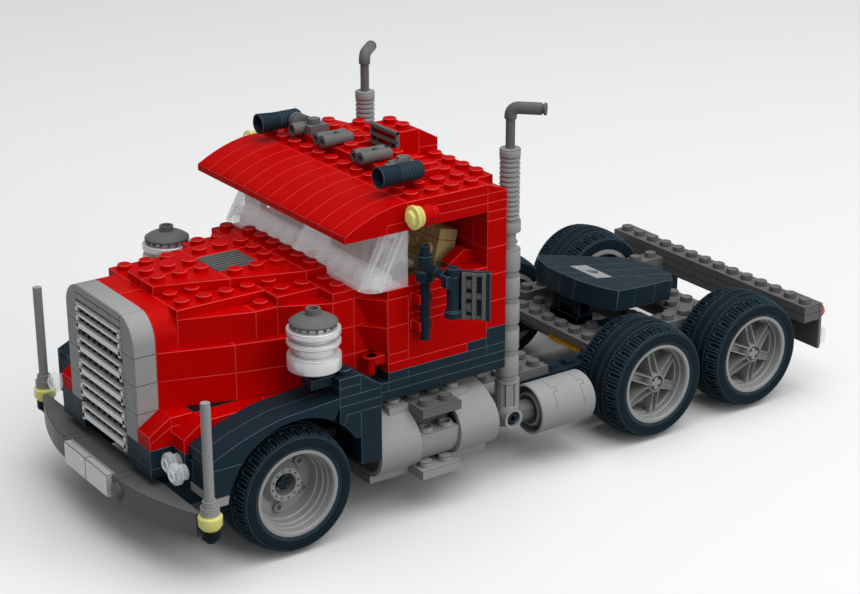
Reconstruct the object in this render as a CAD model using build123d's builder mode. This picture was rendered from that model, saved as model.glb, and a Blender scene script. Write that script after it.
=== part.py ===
import math
import os

from build123d import *

os.makedirs("parts", exist_ok=True)

# ---- building grid ----
PITCH = 8.0          # one stud pitch, across and along
PLATE = 3.2          # one plate high; a brick is three plates
STUD_R = 2.4
STUD_H = 1.8
GRILLE_Y = -134.4    # y of row 0, the front face of the grille shell
BASE_Z = 25.4        # z of level 0, the top of the chassis rails

# ---- widths, half values from the centre plane ----
HOOD_HALF = 24.0
RAIL_IN = 24.0
RAIL_OUT = 32.0
WALL_IN = 40.0       # inner face of the cab side walls
CAB_HALF = 48.0
BODY_HALF = 56.0     # bumper, fenders, steps, tail bar and tyre outer faces
SIDE_OFFSET = 4.0    # marker lamps and mirror bars stand this far outside the cab side

# ---- running gear ----
AXLE_Z = 21.6
AXLE_ROWS = (5, 24, 30)
AXLE_R = 2.4
AXLE_CLEAR = 0.05    # radial running clearance of the axles in the rails
TYRE_R = 21.6
TYRE_IN = RAIL_OUT + 2.0   # inner faces of the tyres, clear of the rails
TYRE_SHOULDER = 1.6
RIM_R = 15.1
RIM_LIP = 1.7
RIM_SPOKES = 6
HUB_R = 4.6
FRONT_HUB_R = 7.2
WHEEL_SET_IN = 0.6   # the axle ends stop this far inside the tyre's outer face

# ---- chassis ----
RAIL_DROP = 9.6      # rail height, one brick
BUMPER_BACK = 4.7    # distance of the bumper's back edge behind the grille face
BUMPER_FRONT = -6.2
BUMPER_Z0 = 17.4
BUMPER_Z1 = 25.4
SIGN_HALF = 16.0
SIGN_FRONT = -8.0
SIGN_BACK = -4.8
POLE_X = BODY_HALF + 4.0
POLE_D = 5.5

# ---- coupling plate, tilted on a cross pin ----
PIN_ROW = 24.5
PIN_Z = 35.0
PIN_R = 1.6
PIN_CLEAR = 0.05
COUPLING_TILT = 9.4  # rear edge down, degrees from level
COUPLING_RISE = 11.7  # height of the top face above the pin, square to the plate
COUPLING_AFT = 2.12  # distance of the plate's datum behind the pin, along the plate
COUPLING_THICK = 8.0
COUPLING_EAR = 3.9
KING_HOLE_R = 2.45
KING_HOLE_Y = 5.8
KING_INSERT_HALF = 8.0
EAR_GAP = 0.3
EAR_SIDE_GAP = 0.15

# ---- fenders ----
ARCH_R = 26.0

# ---- cab glass ----
GLASS = 1.6
GLASS_CORNER_R = 6.0


def y_row(n):
    return GRILLE_Y + PITCH * n


def y_at(distance):
    return GRILLE_Y + distance


def z_level(n):
    return BASE_Z + PLATE * n


def brick(x0, x1, y0, y1, z0, z1, mode=Mode.ADD):
    with Locations(((x0 + x1) / 2, (y0 + y1) / 2, (z0 + z1) / 2)):
        Box(x1 - x0, y1 - y0, z1 - z0, mode=mode)


def grid(c0, c1, r0, r1, l0, l1, mode=Mode.ADD):
    brick(c0 * PITCH, c1 * PITCH, y_row(r0), y_row(r1), z_level(l0), z_level(l1), mode)


def grid_pair(c0, c1, r0, r1, l0, l1, mode=Mode.ADD):
    grid(c0, c1, r0, r1, l0, l1, mode)
    grid(-c1, -c0, r0, r1, l0, l1, mode)


def studs(columns, rows, level):
    # studs stand on the cells whose low corner is the given column and row
    for c in columns:
        for r in rows:
            with Locations(((c + 0.5) * PITCH, y_row(r + 0.5), z_level(level))):
                Cylinder(STUD_R, STUD_H, align=(Align.CENTER, Align.CENTER, Align.MIN))


def upright(x, y, z0, z1, r, mode=Mode.ADD):
    with Locations((x, y, z0)):
        Cylinder(r, z1 - z0, align=(Align.CENTER, Align.CENTER, Align.MIN), mode=mode)


def along_y(x, z, y0, y1, r, mode=Mode.ADD):
    with Locations(Location((x, (y0 + y1) / 2, z), (90, 0, 0))):
        Cylinder(r, y1 - y0, mode=mode)


def along_x(y, z, x0, x1, r, mode=Mode.ADD):
    with Locations(Location(((x0 + x1) / 2, y, z), (0, 90, 0))):
        Cylinder(r, x1 - x0, mode=mode)


def side_profile(points, x0, x1, mode=Mode.ADD):
    # points are (distance behind the grille face, height)
    with BuildSketch(Plane.YZ.offset(x0)) as outline:
        with BuildLine():
            Polyline(*[(y_at(d), z) for d, z in points], close=True)
        make_face()
    extrude(outline.sketch, amount=x1 - x0, mode=mode)


def plan_profile(points, z0, z1, mode=Mode.ADD):
    # points are (x, distance behind the grille face)
    with BuildSketch(Plane.XY.offset(z0)) as outline:
        with BuildLine():
            Polyline(*[(x, y_at(d)) for x, d in points], close=True)
        make_face()
    extrude(outline.sketch, amount=z1 - z0, mode=mode)


def front_profile(points, d0, d1, mode=Mode.ADD):
    # points are (x, height)
    with BuildSketch(Plane.XZ.offset(-y_at(d1))) as outline:
        with BuildLine():
            Polyline(*points, close=True)
        make_face()
    extrude(outline.sketch, amount=d1 - d0, mode=mode)


def save(builder, label):
    builder.part.label = label
    export_step(builder.part, "parts/" + label + ".step")


# ======== chassis ========
with BuildPart() as chassis_rails:
    for side in (-1, 1):
        mid = side * (RAIL_IN + RAIL_OUT) / 2
        brick(mid - 4, mid + 4, y_at(BUMPER_BACK), y_row(34), z_level(-3), z_level(0))
        studs([3 if side > 0 else -4], (20, 21, 22), 0)
    for row in AXLE_ROWS:
        along_x(y_row(row), AXLE_Z, -RAIL_OUT, RAIL_OUT, AXLE_R + AXLE_CLEAR, Mode.SUBTRACT)
save(chassis_rails, "chassis_rails")

with BuildPart() as chassis_plates:
    grid(-4, 4, 1, 20, 0, 1)
    studs(range(-4, 4), (16, 17, 18, 19), 1)
    grid(-3, 3, 23, 25, 0, 1)
    grid_pair(3, 4, 23, 24, 0, 1)
    studs((-4, -3, -2, -1, 0, 1, 2, 3), (23,), 1)
    studs((-3, -2, 1, 2), (24,), 1)
    grid(-3, 3, 26.5, 27.5, 0, 1)
    studs(range(-3, 3), (26.5,), 1)
    grid_pair(2, 3, 27.5, 29, 0, 1)
    studs((-3, 2), (28,), 1)
    grid(-3, 3, 29, 31, 0, 1)
    studs(range(-3, 3), (29, 30), 1)
    grid_pair(3, 4, 24, 33, 0, 2)
    studs((-4, 3), range(24, 33), 2)
save(chassis_plates, "chassis_plates")

with BuildPart() as gold_strips:
    brick(1, 20, y_row(23), y_row(23) + 4, z_level(0) - 2.4, z_level(0))
    brick(4, 17, y_row(28) - 3, y_row(28) + 3, z_level(0) - 2.4, z_level(0))
save(gold_strips, "gold_strips")

with BuildPart() as coupling_hinge_base:
    grid(-1, 1, 24, 25, 1, 2)
    for side in (-1, 1):
        x_in = COUPLING_EAR + EAR_SIDE_GAP
        x0, x1 = sorted((side * x_in, side * PITCH))
        brick(x0, x1, y_row(24) + 1, y_row(25) - 1, z_level(2), PIN_Z)
        along_x(y_row(PIN_ROW), PIN_Z, x0, x1, 3.0)
    along_x(y_row(PIN_ROW), PIN_Z, -PITCH, PITCH, PIN_R + PIN_CLEAR, Mode.SUBTRACT)
save(coupling_hinge_base, "coupling_hinge_base")

with BuildPart() as tail_bar:
    grid(-7, 7, 33, 34, 1, 3)
    grid(-4, 4, 33, 34, 0, 1)
    studs(range(-7, 7), (33,), 3)
save(tail_bar, "tail_bar")

with BuildPart() as tail_brackets:
    for side in (-1, 1):
        x0, x1 = sorted((side * WALL_IN, side * BODY_HALF))
        brick(x0, x1, y_row(34), y_row(34) + 1.6, 16.5, z_level(3))
save(tail_brackets, "tail_brackets")

with BuildPart() as tail_lamps:
    for side in (-1, 1):
        along_y(side * 52, 30.5, y_row(34) + 1.6, y_row(34) + 4.8, 3.0)
save(tail_lamps, "tail_lamps")

with BuildPart() as tail_tiles:
    for side in (-1, 1):
        brick(side * 52 - 3.9, side * 52 + 3.9, y_row(34) + 1.6, y_row(34) + 4.8, 17.6, 24.4)
save(tail_tiles, "tail_tiles")

# ======== bumper ========
with BuildPart() as bumper:
    with BuildSketch(Plane.XY.offset(BUMPER_Z0)):
        with BuildLine():
            ThreePointArc((-BODY_HALF, y_at(2.8)), (-43.6, y_at(-3.0)), (-20, y_at(BUMPER_FRONT)))
            Line((-20, y_at(BUMPER_FRONT)), (-SIGN_HALF, y_at(BUMPER_FRONT)))
            Line((-SIGN_HALF, y_at(BUMPER_FRONT)), (-SIGN_HALF, y_at(SIGN_BACK)))
            Line((-SIGN_HALF, y_at(SIGN_BACK)), (SIGN_HALF, y_at(SIGN_BACK)))
            Line((SIGN_HALF, y_at(SIGN_BACK)), (SIGN_HALF, y_at(BUMPER_FRONT)))
            Line((SIGN_HALF, y_at(BUMPER_FRONT)), (20, y_at(BUMPER_FRONT)))
            ThreePointArc((20, y_at(BUMPER_FRONT)), (43.6, y_at(-3.0)), (BODY_HALF, y_at(2.8)))
            Line((BODY_HALF, y_at(2.8)), (BODY_HALF, y_at(BUMPER_BACK)))
            Line((BODY_HALF, y_at(BUMPER_BACK)), (-BODY_HALF, y_at(BUMPER_BACK)))
            Line((-BODY_HALF, y_at(BUMPER_BACK)), (-BODY_HALF, y_at(2.8)))
        make_face()
    extrude(amount=BUMPER_Z1 - BUMPER_Z0)
    along_y(20, 21.5, y_at(SIGN_FRONT), y_at(BUMPER_FRONT + 0.5), 2.9)
save(bumper, "bumper")

with BuildPart() as bumper_sign:
    brick(-SIGN_HALF, SIGN_HALF, y_at(SIGN_FRONT), y_at(SIGN_BACK), 17.6, 25.7)
save(bumper_sign, "bumper_sign")

with BuildPart() as pole_feet:
    for side in (-1, 1):
        x0, x1 = sorted((side * 50, side * POLE_X))
        brick(x0, x1, y_at(BUMPER_BACK), y_at(BUMPER_BACK + 3), 18.2, 21.5)
        upright(side * POLE_X, y_at(POLE_D), 18.2, 21.5, 3.1)
        upright(side * POLE_X, y_at(POLE_D), 16.8, 18.2, 1.6)
save(pole_feet, "pole_feet")

with BuildPart() as pole_rings:
    for side in (-1, 1):
        upright(side * POLE_X, y_at(POLE_D), 21.5, 26.5, 3.9)
save(pole_rings, "pole_rings")

with BuildPart() as guide_poles:
    for side in (-1, 1):
        upright(side * POLE_X, y_at(POLE_D), 26.5, 29.1, 3.1)
        upright(side * POLE_X, y_at(POLE_D), 29.1, 31.1, 2.4)
        upright(side * POLE_X, y_at(POLE_D), 31.1, 64.0, 1.6)
save(guide_poles, "guide_poles")

# ======== grille and hood ========
SHELL_TOP = z_level(17)
SHELL_CORNER_R = 9.0


def shell_profile(d0, d1, z0):
    with BuildSketch(Plane.XZ.offset(-y_at(d1))) as outline:
        with BuildLine():
            Polyline((-HOOD_HALF, SHELL_TOP - SHELL_CORNER_R), (-HOOD_HALF, z0), (HOOD_HALF, z0),
                     (HOOD_HALF, SHELL_TOP - SHELL_CORNER_R))
            RadiusArc((HOOD_HALF, SHELL_TOP - SHELL_CORNER_R), (HOOD_HALF - SHELL_CORNER_R, SHELL_TOP),
                      -SHELL_CORNER_R)
            Line((HOOD_HALF - SHELL_CORNER_R, SHELL_TOP), (SHELL_CORNER_R - HOOD_HALF, SHELL_TOP))
            RadiusArc((SHELL_CORNER_R - HOOD_HALF, SHELL_TOP), (-HOOD_HALF, SHELL_TOP - SHELL_CORNER_R),
                      -SHELL_CORNER_R)
        make_face()
    extrude(outline.sketch, amount=d1 - d0)


with BuildPart() as grille_shell:
    shell_profile(0, 8, z_level(4))
    brick(-16, 16, y_at(0), y_at(8), z_level(4), 75.0, Mode.SUBTRACT)
save(grille_shell, "grille_shell")

SLAT_Z = (73.2, 69.9, 66.7, 61.7, 58.5, 53.5, 50.4, 45.7, 42.6, 37.4, 34.2)
with BuildPart() as grille_slats:
    for z in SLAT_Z:
        brick(-16, 16, y_at(-0.5), y_at(3), z - 0.8, z + 0.8)
save(grille_slats, "grille_slats")

with BuildPart() as shell_band:
    shell_profile(8, 16, z_level(13))
save(shell_band, "shell_band")

with BuildPart() as hood_plates:
    plan_profile([(-8, 16), (8, 16), (24, 64), (24, 72), (-24, 72), (-24, 64)], z_level(17), z_level(18))
    grid(-3, 3, 2, 6, 16, 17)
    grid(-4, 4, 6, 8, 16, 17)
    grid(-5, 5, 8, 10, 16, 17)
    studs((-1, 0), (2, 3, 4), 18)
    studs((-2, 1), (5, 6, 7), 18)
    studs((-1, 0), (7,), 18)
    studs((-3, -2, -1, 0, 1, 2), (8,), 18)
    studs((-3, 2), (2, 3, 4, 5, 6, 7), 17)
    studs((-2, 1), (2, 3, 4), 17)
    studs((-4, 3), (6, 7, 8), 17)
    studs((-5, 4), (8,), 17)
    grid(-1, 1, 5, 7, 17, 18, Mode.SUBTRACT)
save(hood_plates, "hood_plates")

with BuildPart() as hood_vents:
    brick(-8, 8, y_row(5), y_row(7), z_level(17), z_level(17) + 1.8)
    for i in range(4):
        x = -6 + 4 * i
        brick(x - 1, x + 1, y_row(5), y_row(7), z_level(17) + 1.8, z_level(18))
save(hood_vents, "hood_vents")

with BuildPart() as hood_sides:
    for s in (-1, 1):
        plan_profile([(s * 16, 16), (s * 24, 16), (s * 32, 40), (s * 32, 48), (s * 40, 64), (s * 40, 72),
                      (s * 32, 72), (s * 32, 64), (s * 24, 40)], z_level(13), z_level(16))
        plan_profile([(s * 16, 8), (s * 24, 8), (s * 32, 32), (s * 40, 64), (s * 40, 72), (s * 32, 72),
                      (s * 32, 64), (s * 24, 32)], z_level(7), z_level(13))
    studs((-4, 3), (5,), 16)
save(hood_sides, "hood_sides")

with BuildPart() as hood_core:
    grid(-2, 2, 1, 9, 1, 13)
    brick(-16, 16, y_at(3), y_at(8), z_level(1), 75.0)
    grid_pair(3, 4, 2, 9, 1, 7)
save(hood_core, "hood_core")

with BuildPart() as arch_tops:
    grid_pair(4, 5, 2, 8, 6, 7)
    for side in (-1, 1):
        x0, x1 = sorted((side * HOOD_HALF, side * RAIL_OUT))
        side_profile([(0, 38.2), (0, 43.0), (8, 48.2), (8, 38.2)], x0, x1)
        side_profile([(8, 38.2), (8, 47.8), (16, 47.8), (16, 38.2)], x0, x1)
        x0, x1 = sorted((side * RAIL_OUT, side * WALL_IN))
        side_profile([(8, 38.2), (8, 43.0), (16, 48.2), (16, 38.2)], x0, x1)
save(arch_tops, "arch_tops")

with BuildPart() as lamp_blocks:
    grid_pair(2, 4, 0, 1, 1, 4)
    grid_pair(4, 5, 1, 2, 1, 4)
save(lamp_blocks, "lamp_blocks")

with BuildPart() as headlamps:
    for side in (-1, 1):
        along_y(side * 36, 34.5, y_at(3), y_at(8), 3.6)
        along_y(side * 44, 34.5, y_at(1), y_at(6), 3.6)
save(headlamps, "headlamps")

# ======== fenders ========
FENDER_TOP = [(9.6, 25.4), (9.6, 41.3), (15.6, 44), (22.8, 46.6), (33.7, 49.4), (42.9, 50.1), (56, 51),
              (56, 57.4), (64, 57.4), (72, 52), (72, 25.4)]


def fender(x0, x1):
    side_profile(FENDER_TOP, x0, x1)
    along_x(y_row(AXLE_ROWS[0]), AXLE_Z, x0, x1, ARCH_R, Mode.SUBTRACT)
    middle = 49 if x0 > 0 else -49
    brick(middle - 3, middle + 3, y_at(48), y_at(56), 54.2, 57.4)


with BuildPart() as fender_left:
    fender(WALL_IN, BODY_HALF)
save(fender_left, "fender_left")

with BuildPart() as fender_right:
    fender(-BODY_HALF, -WALL_IN)
save(fender_right, "fender_right")

# ======== air cleaners ========
with BuildPart() as cleaner_drums:
    for side in (-1, 1):
        x = side * 49
        upright(x, y_at(53.5), 57.4, 60.8, 2.9)
        upright(x, y_at(51), 60.8, 66.0, 8.8)
        upright(x, y_at(51), 66.0, 76.1, 6.5)
        upright(x, y_at(51), 69.2, 70.7, 8.8)
        upright(x, y_at(51), 72.4, 74.6, 8.8)
save(cleaner_drums, "cleaner_drums")

with BuildPart() as cleaner_caps:
    for side in (-1, 1):
        upright(side * 49, y_at(51), 76.1, 76.6, 7.9)
        with Locations((side * 49, y_at(51), 76.6)):
            Cone(7.9, 2.9, 2.4, align=(Align.CENTER, Align.CENTER, Align.MIN))
        upright(side * 49, y_at(51), 79.0, 80.9, 2.5)
save(cleaner_caps, "cleaner_caps")

# ======== cab ========
with BuildPart() as cab_base:
    grid(-4, 4, 9, 16, 1, 5)
save(cab_base, "cab_base")

with BuildPart() as cab_sill:
    grid(-5, 5, 9, 15, 5, 6)
    grid_pair(5, 6, 9, 16, 5, 7)
    grid_pair(5, 6, 10, 16, 7, 8)
    grid_pair(5, 6, 14, 15, 8, 9)
    grid_pair(5, 6, 15, 16, 8, 10)
    grid(-5, 5, 15, 16, 5, 10)
save(cab_sill, "cab_sill")

with BuildPart() as cab_walls:
    grid_pair(5, 6, 10, 14, 8, 17)
    grid_pair(5, 6, 14, 15, 9, 17)
    grid_pair(5, 6, 15, 16, 10, 17)
    grid(-5, 5, 15, 16, 10, 24)
    grid_pair(5, 6, 15, 16, 17, 23)
    for side in (-1, 1):
        x0, x1 = sorted((side * CAB_HALF, side * (CAB_HALF + 2.4)))
        for z in (66.4, 76.0):
            brick(x0, x1, y_at(89.6), y_at(94.4), z - 1.6, z + 1.6)
        x0, x1 = sorted((side * (WALL_IN - 5), side * WALL_IN))
        side_profile([(110, z_level(16)), (120, z_level(16)), (120, 88.4), (116, 88.4)], x0, x1)
save(cab_walls, "cab_walls")

with BuildPart() as cowl:
    grid(-5, 5, 9, 10, 6, 16)
    for side in (-1, 1):
        x0, x1 = sorted((side * 40, side * 48))
        brick(x0, x1, y_row(9), y_row(10), z_level(10), z_level(16))
        upright(side * 48, y_row(9), z_level(10), z_level(16), 7.0, Mode.SUBTRACT)
        x0, x1 = sorted((side * 42, side * 47))
        brick(x0, x1, y_row(10) - 4, y_row(10), z_level(8), z_level(10))
save(cowl, "cowl")

MARKER_Z = 104.6
with BuildPart() as roof_plates:
    grid(-6, 6, 11, 16, 24, 26)
    grid_pair(5, 6, 10, 16, 23, 24)
    for side in (-1, 1):
        x0, x1 = sorted((side * 40, side * 48))
        side_profile([(15 * PITCH, z_level(26)), (16 * PITCH, z_level(26)), (16 * PITCH, z_level(25))], x0, x1,
                     Mode.SUBTRACT)
    studs(range(-6, 6), (11,), 26)
    studs((-6, -5, -4, -3, -2, 1, 2, 3, 4, 5), (14,), 26)
    studs((-6, 5, -5, 4), (12, 13), 26)
    studs(range(-5, -1), (15,), 26)
    studs(range(1, 5), (15,), 26)
    grid(-4, 4, 12, 13, 26, 27)
    grid_pair(1, 4, 13, 14, 26, 27)
    studs((-1, 0), (12,), 27)
    studs((-4, -3, -2, 1, 2, 3), (13,), 27)
    for side in (-1, 1):
        along_y(side * (CAB_HALF + SIDE_OFFSET), MARKER_Z, y_at(90), y_at(96), 3.3)
        x0, x1 = sorted((side * (CAB_HALF - 1), side * (CAB_HALF + 2)))
        along_x(y_at(92.5), MARKER_Z, x0, x1, 2.0)
save(roof_plates, "roof_plates")

VISOR_LIP = 2.3      # height of the visor's front edge
VISOR_CROWN = 7.4    # height of its curve, 1.25 pitches behind that edge
with BuildPart() as visor:
    with BuildSketch(Plane.YZ.offset(-CAB_HALF)):
        lip = (y_row(8), z_level(23) + VISOR_LIP)
        with BuildLine():
            Polyline((y_row(11), z_level(26)), (y_row(11), z_level(24)), (y_row(10), z_level(24)),
                     (y_row(10), z_level(23)), (y_row(8), z_level(23)), lip)
            ThreePointArc(lip, (y_row(9.25), z_level(23) + VISOR_CROWN), (y_row(11), z_level(26)))
        make_face()
    extrude(amount=2 * CAB_HALF)
save(visor, "visor")

WIND_BASE = z_level(17)
WIND_TOP = z_level(23)
with BuildPart() as windscreen:
    for side in (-1, 1):
        x0, x1 = sorted((side * 0.1, side * CAB_HALF))
        side_profile([(72, WIND_BASE), (88, WIND_BASE), (88, WIND_TOP), (86, WIND_TOP)], x0, x1)
        side_profile([(74, WIND_BASE), (88, WIND_BASE), (88, WIND_TOP)], x0 + GLASS, x1 - GLASS, Mode.SUBTRACT)
save(windscreen, "windscreen")

SEAT_LEAN = 14.0     # the backs lean this far from upright, degrees
SEAT_X = 20.0
SEAT_HALF = 12.0
with BuildPart() as seats:
    lean = (math.sin(math.radians(SEAT_LEAN)), math.cos(math.radians(SEAT_LEAN)))
    foot = (104.0, z_level(10))
    for side in (-1, 1):
        x = side * SEAT_X
        brick(x - SEAT_HALF, x + SEAT_HALF, y_at(100), y_at(118), z_level(6), z_level(11))
        side_profile([foot, (foot[0] + 8, foot[1] - 2), (foot[0] + 8 + 34 * lean[0], foot[1] - 2 + 34 * lean[1]),
                      (foot[0] + 34 * lean[0], foot[1] + 34 * lean[1])], x - SEAT_HALF, x + SEAT_HALF)
        for column in (-1, 0, 1):
            for step in (10.0, 18.0, 26.0):
                face = Plane(origin=(x + column * PITCH, y_at(foot[0] + step * lean[0]), foot[1] + step * lean[1]),
                             z_dir=(0, -lean[1], lean[0]))
                with Locations(face.location):
                    Cylinder(STUD_R, STUD_H, align=(Align.CENTER, Align.CENTER, Align.MIN))
save(seats, "seats")

with BuildPart() as dashboard:
    grid(-5, 5, 10, 10.5, 6, 17)
save(dashboard, "dashboard")

with BuildPart() as steering_wheel:
    with Locations(Location((24, y_at(95), 85), (-50, 0, 0))):
        Torus(9.0, 1.3)
        Box(18, 2, 1.6)
        Cylinder(1.6, 13.0, align=(Align.CENTER, Align.CENTER, Align.MAX))
    brick(22, 26, y_at(84), y_at(87), 74.5, 79.0)
save(steering_wheel, "steering_wheel")

# ======== roof fittings ========
with BuildPart() as roof_horns:
    for side in (-1, 1):
        along_y(side * 38, 115, y_at(83), y_at(90), 3.7)
        along_y(side * 38, 115, y_at(90), y_at(100), 3.2)
save(roof_horns, "roof_horns")

with BuildPart() as roof_fittings:
    for side in (-1, 1):
        x0, x1 = sorted((side * 24, side * 32))
        brick(x0, x1, y_row(12), y_row(13), z_level(27), z_level(28))
        studs([3 if side > 0 else -4], (12,), 28)
        x0, x1 = sorted((side * 32, side * 34.8))
        along_x(y_row(12.5), 115, x0, x1, 2.4)
        for dx in (-2.0, 2.0):
            along_y(side * 12 + dx, 113.8, y_at(92), y_at(104), 2.0)
save(roof_fittings, "roof_fittings")

with BuildPart() as vent_box:
    grid(-1, 1, 14, 15, 26, 29)
    side_profile([(15 * PITCH, z_level(26)), (15 * PITCH, z_level(29)), (16 * PITCH, z_level(27) + 2),
                  (16 * PITCH, z_level(26))], -PITCH, PITCH)
    studs((-1, 0), (14,), 29)
save(vent_box, "vent_box")

with BuildPart() as vent_grille:
    brick(-8, 8, y_row(14) - 1.6, y_row(14), z_level(26), z_level(29))
save(vent_grille, "vent_grille")

with BuildPart() as marker_lamps:
    for side in (-1, 1):
        along_y(side * (CAB_HALF + SIDE_OFFSET), MARKER_Z, y_at(85.5), y_at(90), 4.0)
save(marker_lamps, "marker_lamps")

# ======== mirrors ========
MIRROR_BAR_X = CAB_HALF + SIDE_OFFSET
MIRROR_POST_X = MIRROR_BAR_X + 12.5
with BuildPart() as mirror_arms:
    for side in (-1, 1):
        upright(side * MIRROR_BAR_X, y_at(92), 61.6, 94.4, 1.6)
        upright(side * MIRROR_BAR_X, y_at(92), 79.0, 82.0, 3.2)
        upright(side * MIRROR_BAR_X, y_at(92), 82.0, 88.0, 2.4)
        x0, x1 = sorted((side * MIRROR_BAR_X, side * MIRROR_POST_X))
        along_x(y_at(92), 86, x0, x1, 1.6)
        brick(side * MIRROR_POST_X - 1.6, side * MIRROR_POST_X + 1.6, y_at(91), y_at(94), 84, 88)
        upright(side * MIRROR_POST_X, y_at(94), 73.0, 90.0, 2.0)
        upright(side * MIRROR_POST_X, y_at(94), 73.0, 75.4, 2.7)
save(mirror_arms, "mirror_arms")

with BuildPart() as mirror_heads:
    for side in (-1, 1):
        with Locations(Location((side * (MIRROR_POST_X + 4.1), y_at(101.0), 80), (0, 0, side * 45))):
            Box(10.5, 2.6, 16.8)
save(mirror_heads, "mirror_heads")

# ======== side tanks and exhaust ========
TANK_TOP = 38.0
TANK_FLOOR = z_level(-3)


def tank_drum(side, row0, row1):
    # flat top inboard, a wide bow down to the widest line at the rail tops, and a tighter one to the floor
    with BuildSketch(Plane.XZ.offset(-y_row(row1))) as outline:
        with BuildLine():
            Polyline((side * 6 * PITCH, TANK_FLOOR), (side * RAIL_OUT, TANK_FLOOR), (side * RAIL_OUT, TANK_TOP),
                     (side * WALL_IN, TANK_TOP))
            ThreePointArc((side * WALL_IN, TANK_TOP), (side * 50.3, 33.9), (side * BODY_HALF, BASE_Z))
            ThreePointArc((side * BODY_HALF, BASE_Z), (side * 54.2, 19.4), (side * 6 * PITCH, TANK_FLOOR))
        make_face()
    extrude(outline.sketch, amount=(row1 - row0) * PITCH)


with BuildPart() as tank_drums:
    grid_pair(4, 6, 9, 15, -4, -3)
    grid_pair(6, 7, 11, 13, -4, -3)
    studs((-7, 6), (11, 12), -3)
    for side in (-1, 1):
        tank_drum(side, 9, 11)
        tank_drum(side, 13, 15)
        front_profile([(side * RAIL_OUT, TANK_FLOOR), (side * 45, TANK_FLOOR), (side * 50, 17.6), (side * 53, 21),
                       (side * 54.5, BASE_Z), (side * 54.5, z_level(1)), (side * RAIL_OUT, z_level(1))],
                      11 * PITCH, 13 * PITCH)
    studs((-7, 6), (11, 12), 1)
    for row in (10, 13):
        grid_pair(5, 6, row, row + 1, 3, 4)
        studs((-6, 5), (row,), 4)
save(tank_drums, "tank_drums")

with BuildPart() as tank_plates:
    grid_pair(4, 7, 11, 13, 3, 4)
    studs((-7, 6, -6, 5), (11, 12), 4)
    grid_pair(4, 6, 11, 13, 1, 3)
save(tank_plates, "tank_plates")

STACK_X = 44.0
STACK_BEND_Z = 132.0  # height of the tail tubes' centre lines
STACK_TUBE_R = 2.1
with BuildPart() as stacks_lower:
    for side in (-1, 1):
        upright(side * STACK_X, y_at(132), 18.0, 35.0, 4.4)
        x0, x1 = sorted((side * RAIL_OUT, side * STACK_X))
        brick(x0, x1, y_row(16), y_row(17), z_level(0), z_level(1))
save(stacks_lower, "stacks_lower")

with BuildPart() as stacks_upper:
    for side in (-1, 1):
        for z0, z1, r in ((35.0, 83.0, 4.0), (83.0, 88.9, 2.4), (88.9, 93.2, 4.0), (93.2, 115.2, 3.5),
                          (115.2, 118.2, 3.6), (118.2, 130.0, 1.6)):
            upright(side * STACK_X, y_at(132), z0, z1, r)
        upright(side * STACK_X, y_at(132), 128.1, STACK_BEND_Z, STACK_TUBE_R)
        out = (side, 1, 0)
        with Locations(Plane(origin=(side * STACK_X, y_at(132), STACK_BEND_Z), z_dir=out).location):
            Cylinder(STACK_TUBE_R, 12.0, align=(Align.CENTER, Align.CENTER, Align.MIN))
            Sphere(STACK_TUBE_R)
save(stacks_upper, "stacks_upper")

with BuildPart() as mufflers:
    for side in (-1, 1):
        along_y(side * STACK_X, 20.6, y_at(141), y_at(165.3), 9.1)
        along_y(side * STACK_X, 20.6, y_at(136.4), y_at(141), 4.0)
        x0, x1 = sorted((side * RAIL_OUT, side * 37))
        brick(x0, x1, y_at(148), y_at(156), 18.0, 23.0)
save(mufflers, "mufflers")

# ======== coupling plate ========
TILT = math.radians(COUPLING_TILT)
ALONG = (math.cos(TILT), -math.sin(TILT))
SQUARE = (math.sin(TILT), math.cos(TILT))
DATUM_Y = y_row(PIN_ROW) + COUPLING_AFT * ALONG[0] + COUPLING_RISE * SQUARE[0]
DATUM_Z = PIN_Z + COUPLING_AFT * ALONG[1] + COUPLING_RISE * SQUARE[1]
COUPLING_TOP = Plane(origin=(0, DATUM_Y, DATUM_Z), x_dir=(1, 0, 0), z_dir=(0, SQUARE[0], SQUARE[1]))
COUPLING_HALF = [(10.3, -8.7), (18.5, -5.8), (24.4, -1.4), (23.6, 1.7), (20.7, 14.7), (16.5, 28.7),
                 (15.7, 33.5), (8.0, 39.5)]
with BuildPart() as coupling_plate:
    with BuildSketch(COUPLING_TOP):
        with BuildLine():
            Polyline((0, -9.4), *COUPLING_HALF, *[(-x, y) for x, y in reversed(COUPLING_HALF)], close=True)
        make_face()
        with Locations((0, 5.4)):
            Rectangle(2 * KING_INSERT_HALF, 8, mode=Mode.SUBTRACT)
    extrude(amount=-COUPLING_THICK)
    with Locations(COUPLING_TOP.location * Location((0, -COUPLING_AFT, -COUPLING_THICK - 1.5))):
        Box(2 * COUPLING_EAR, 5.0, 5.0)
    along_x(y_row(PIN_ROW), PIN_Z, -COUPLING_EAR, COUPLING_EAR, PIN_Z - z_level(2) - EAR_GAP)
    along_x(y_row(PIN_ROW), PIN_Z, -PITCH, PITCH, PIN_R)
save(coupling_plate, "coupling_plate")

with BuildPart() as coupling_insert:
    with BuildSketch(COUPLING_TOP):
        with Locations((0, 5.4)):
            Rectangle(2 * KING_INSERT_HALF, 8)
        with Locations((0, KING_HOLE_Y)):
            Circle(KING_HOLE_R, mode=Mode.SUBTRACT)
    extrude(amount=-COUPLING_THICK)
save(coupling_insert, "coupling_insert")


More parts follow.
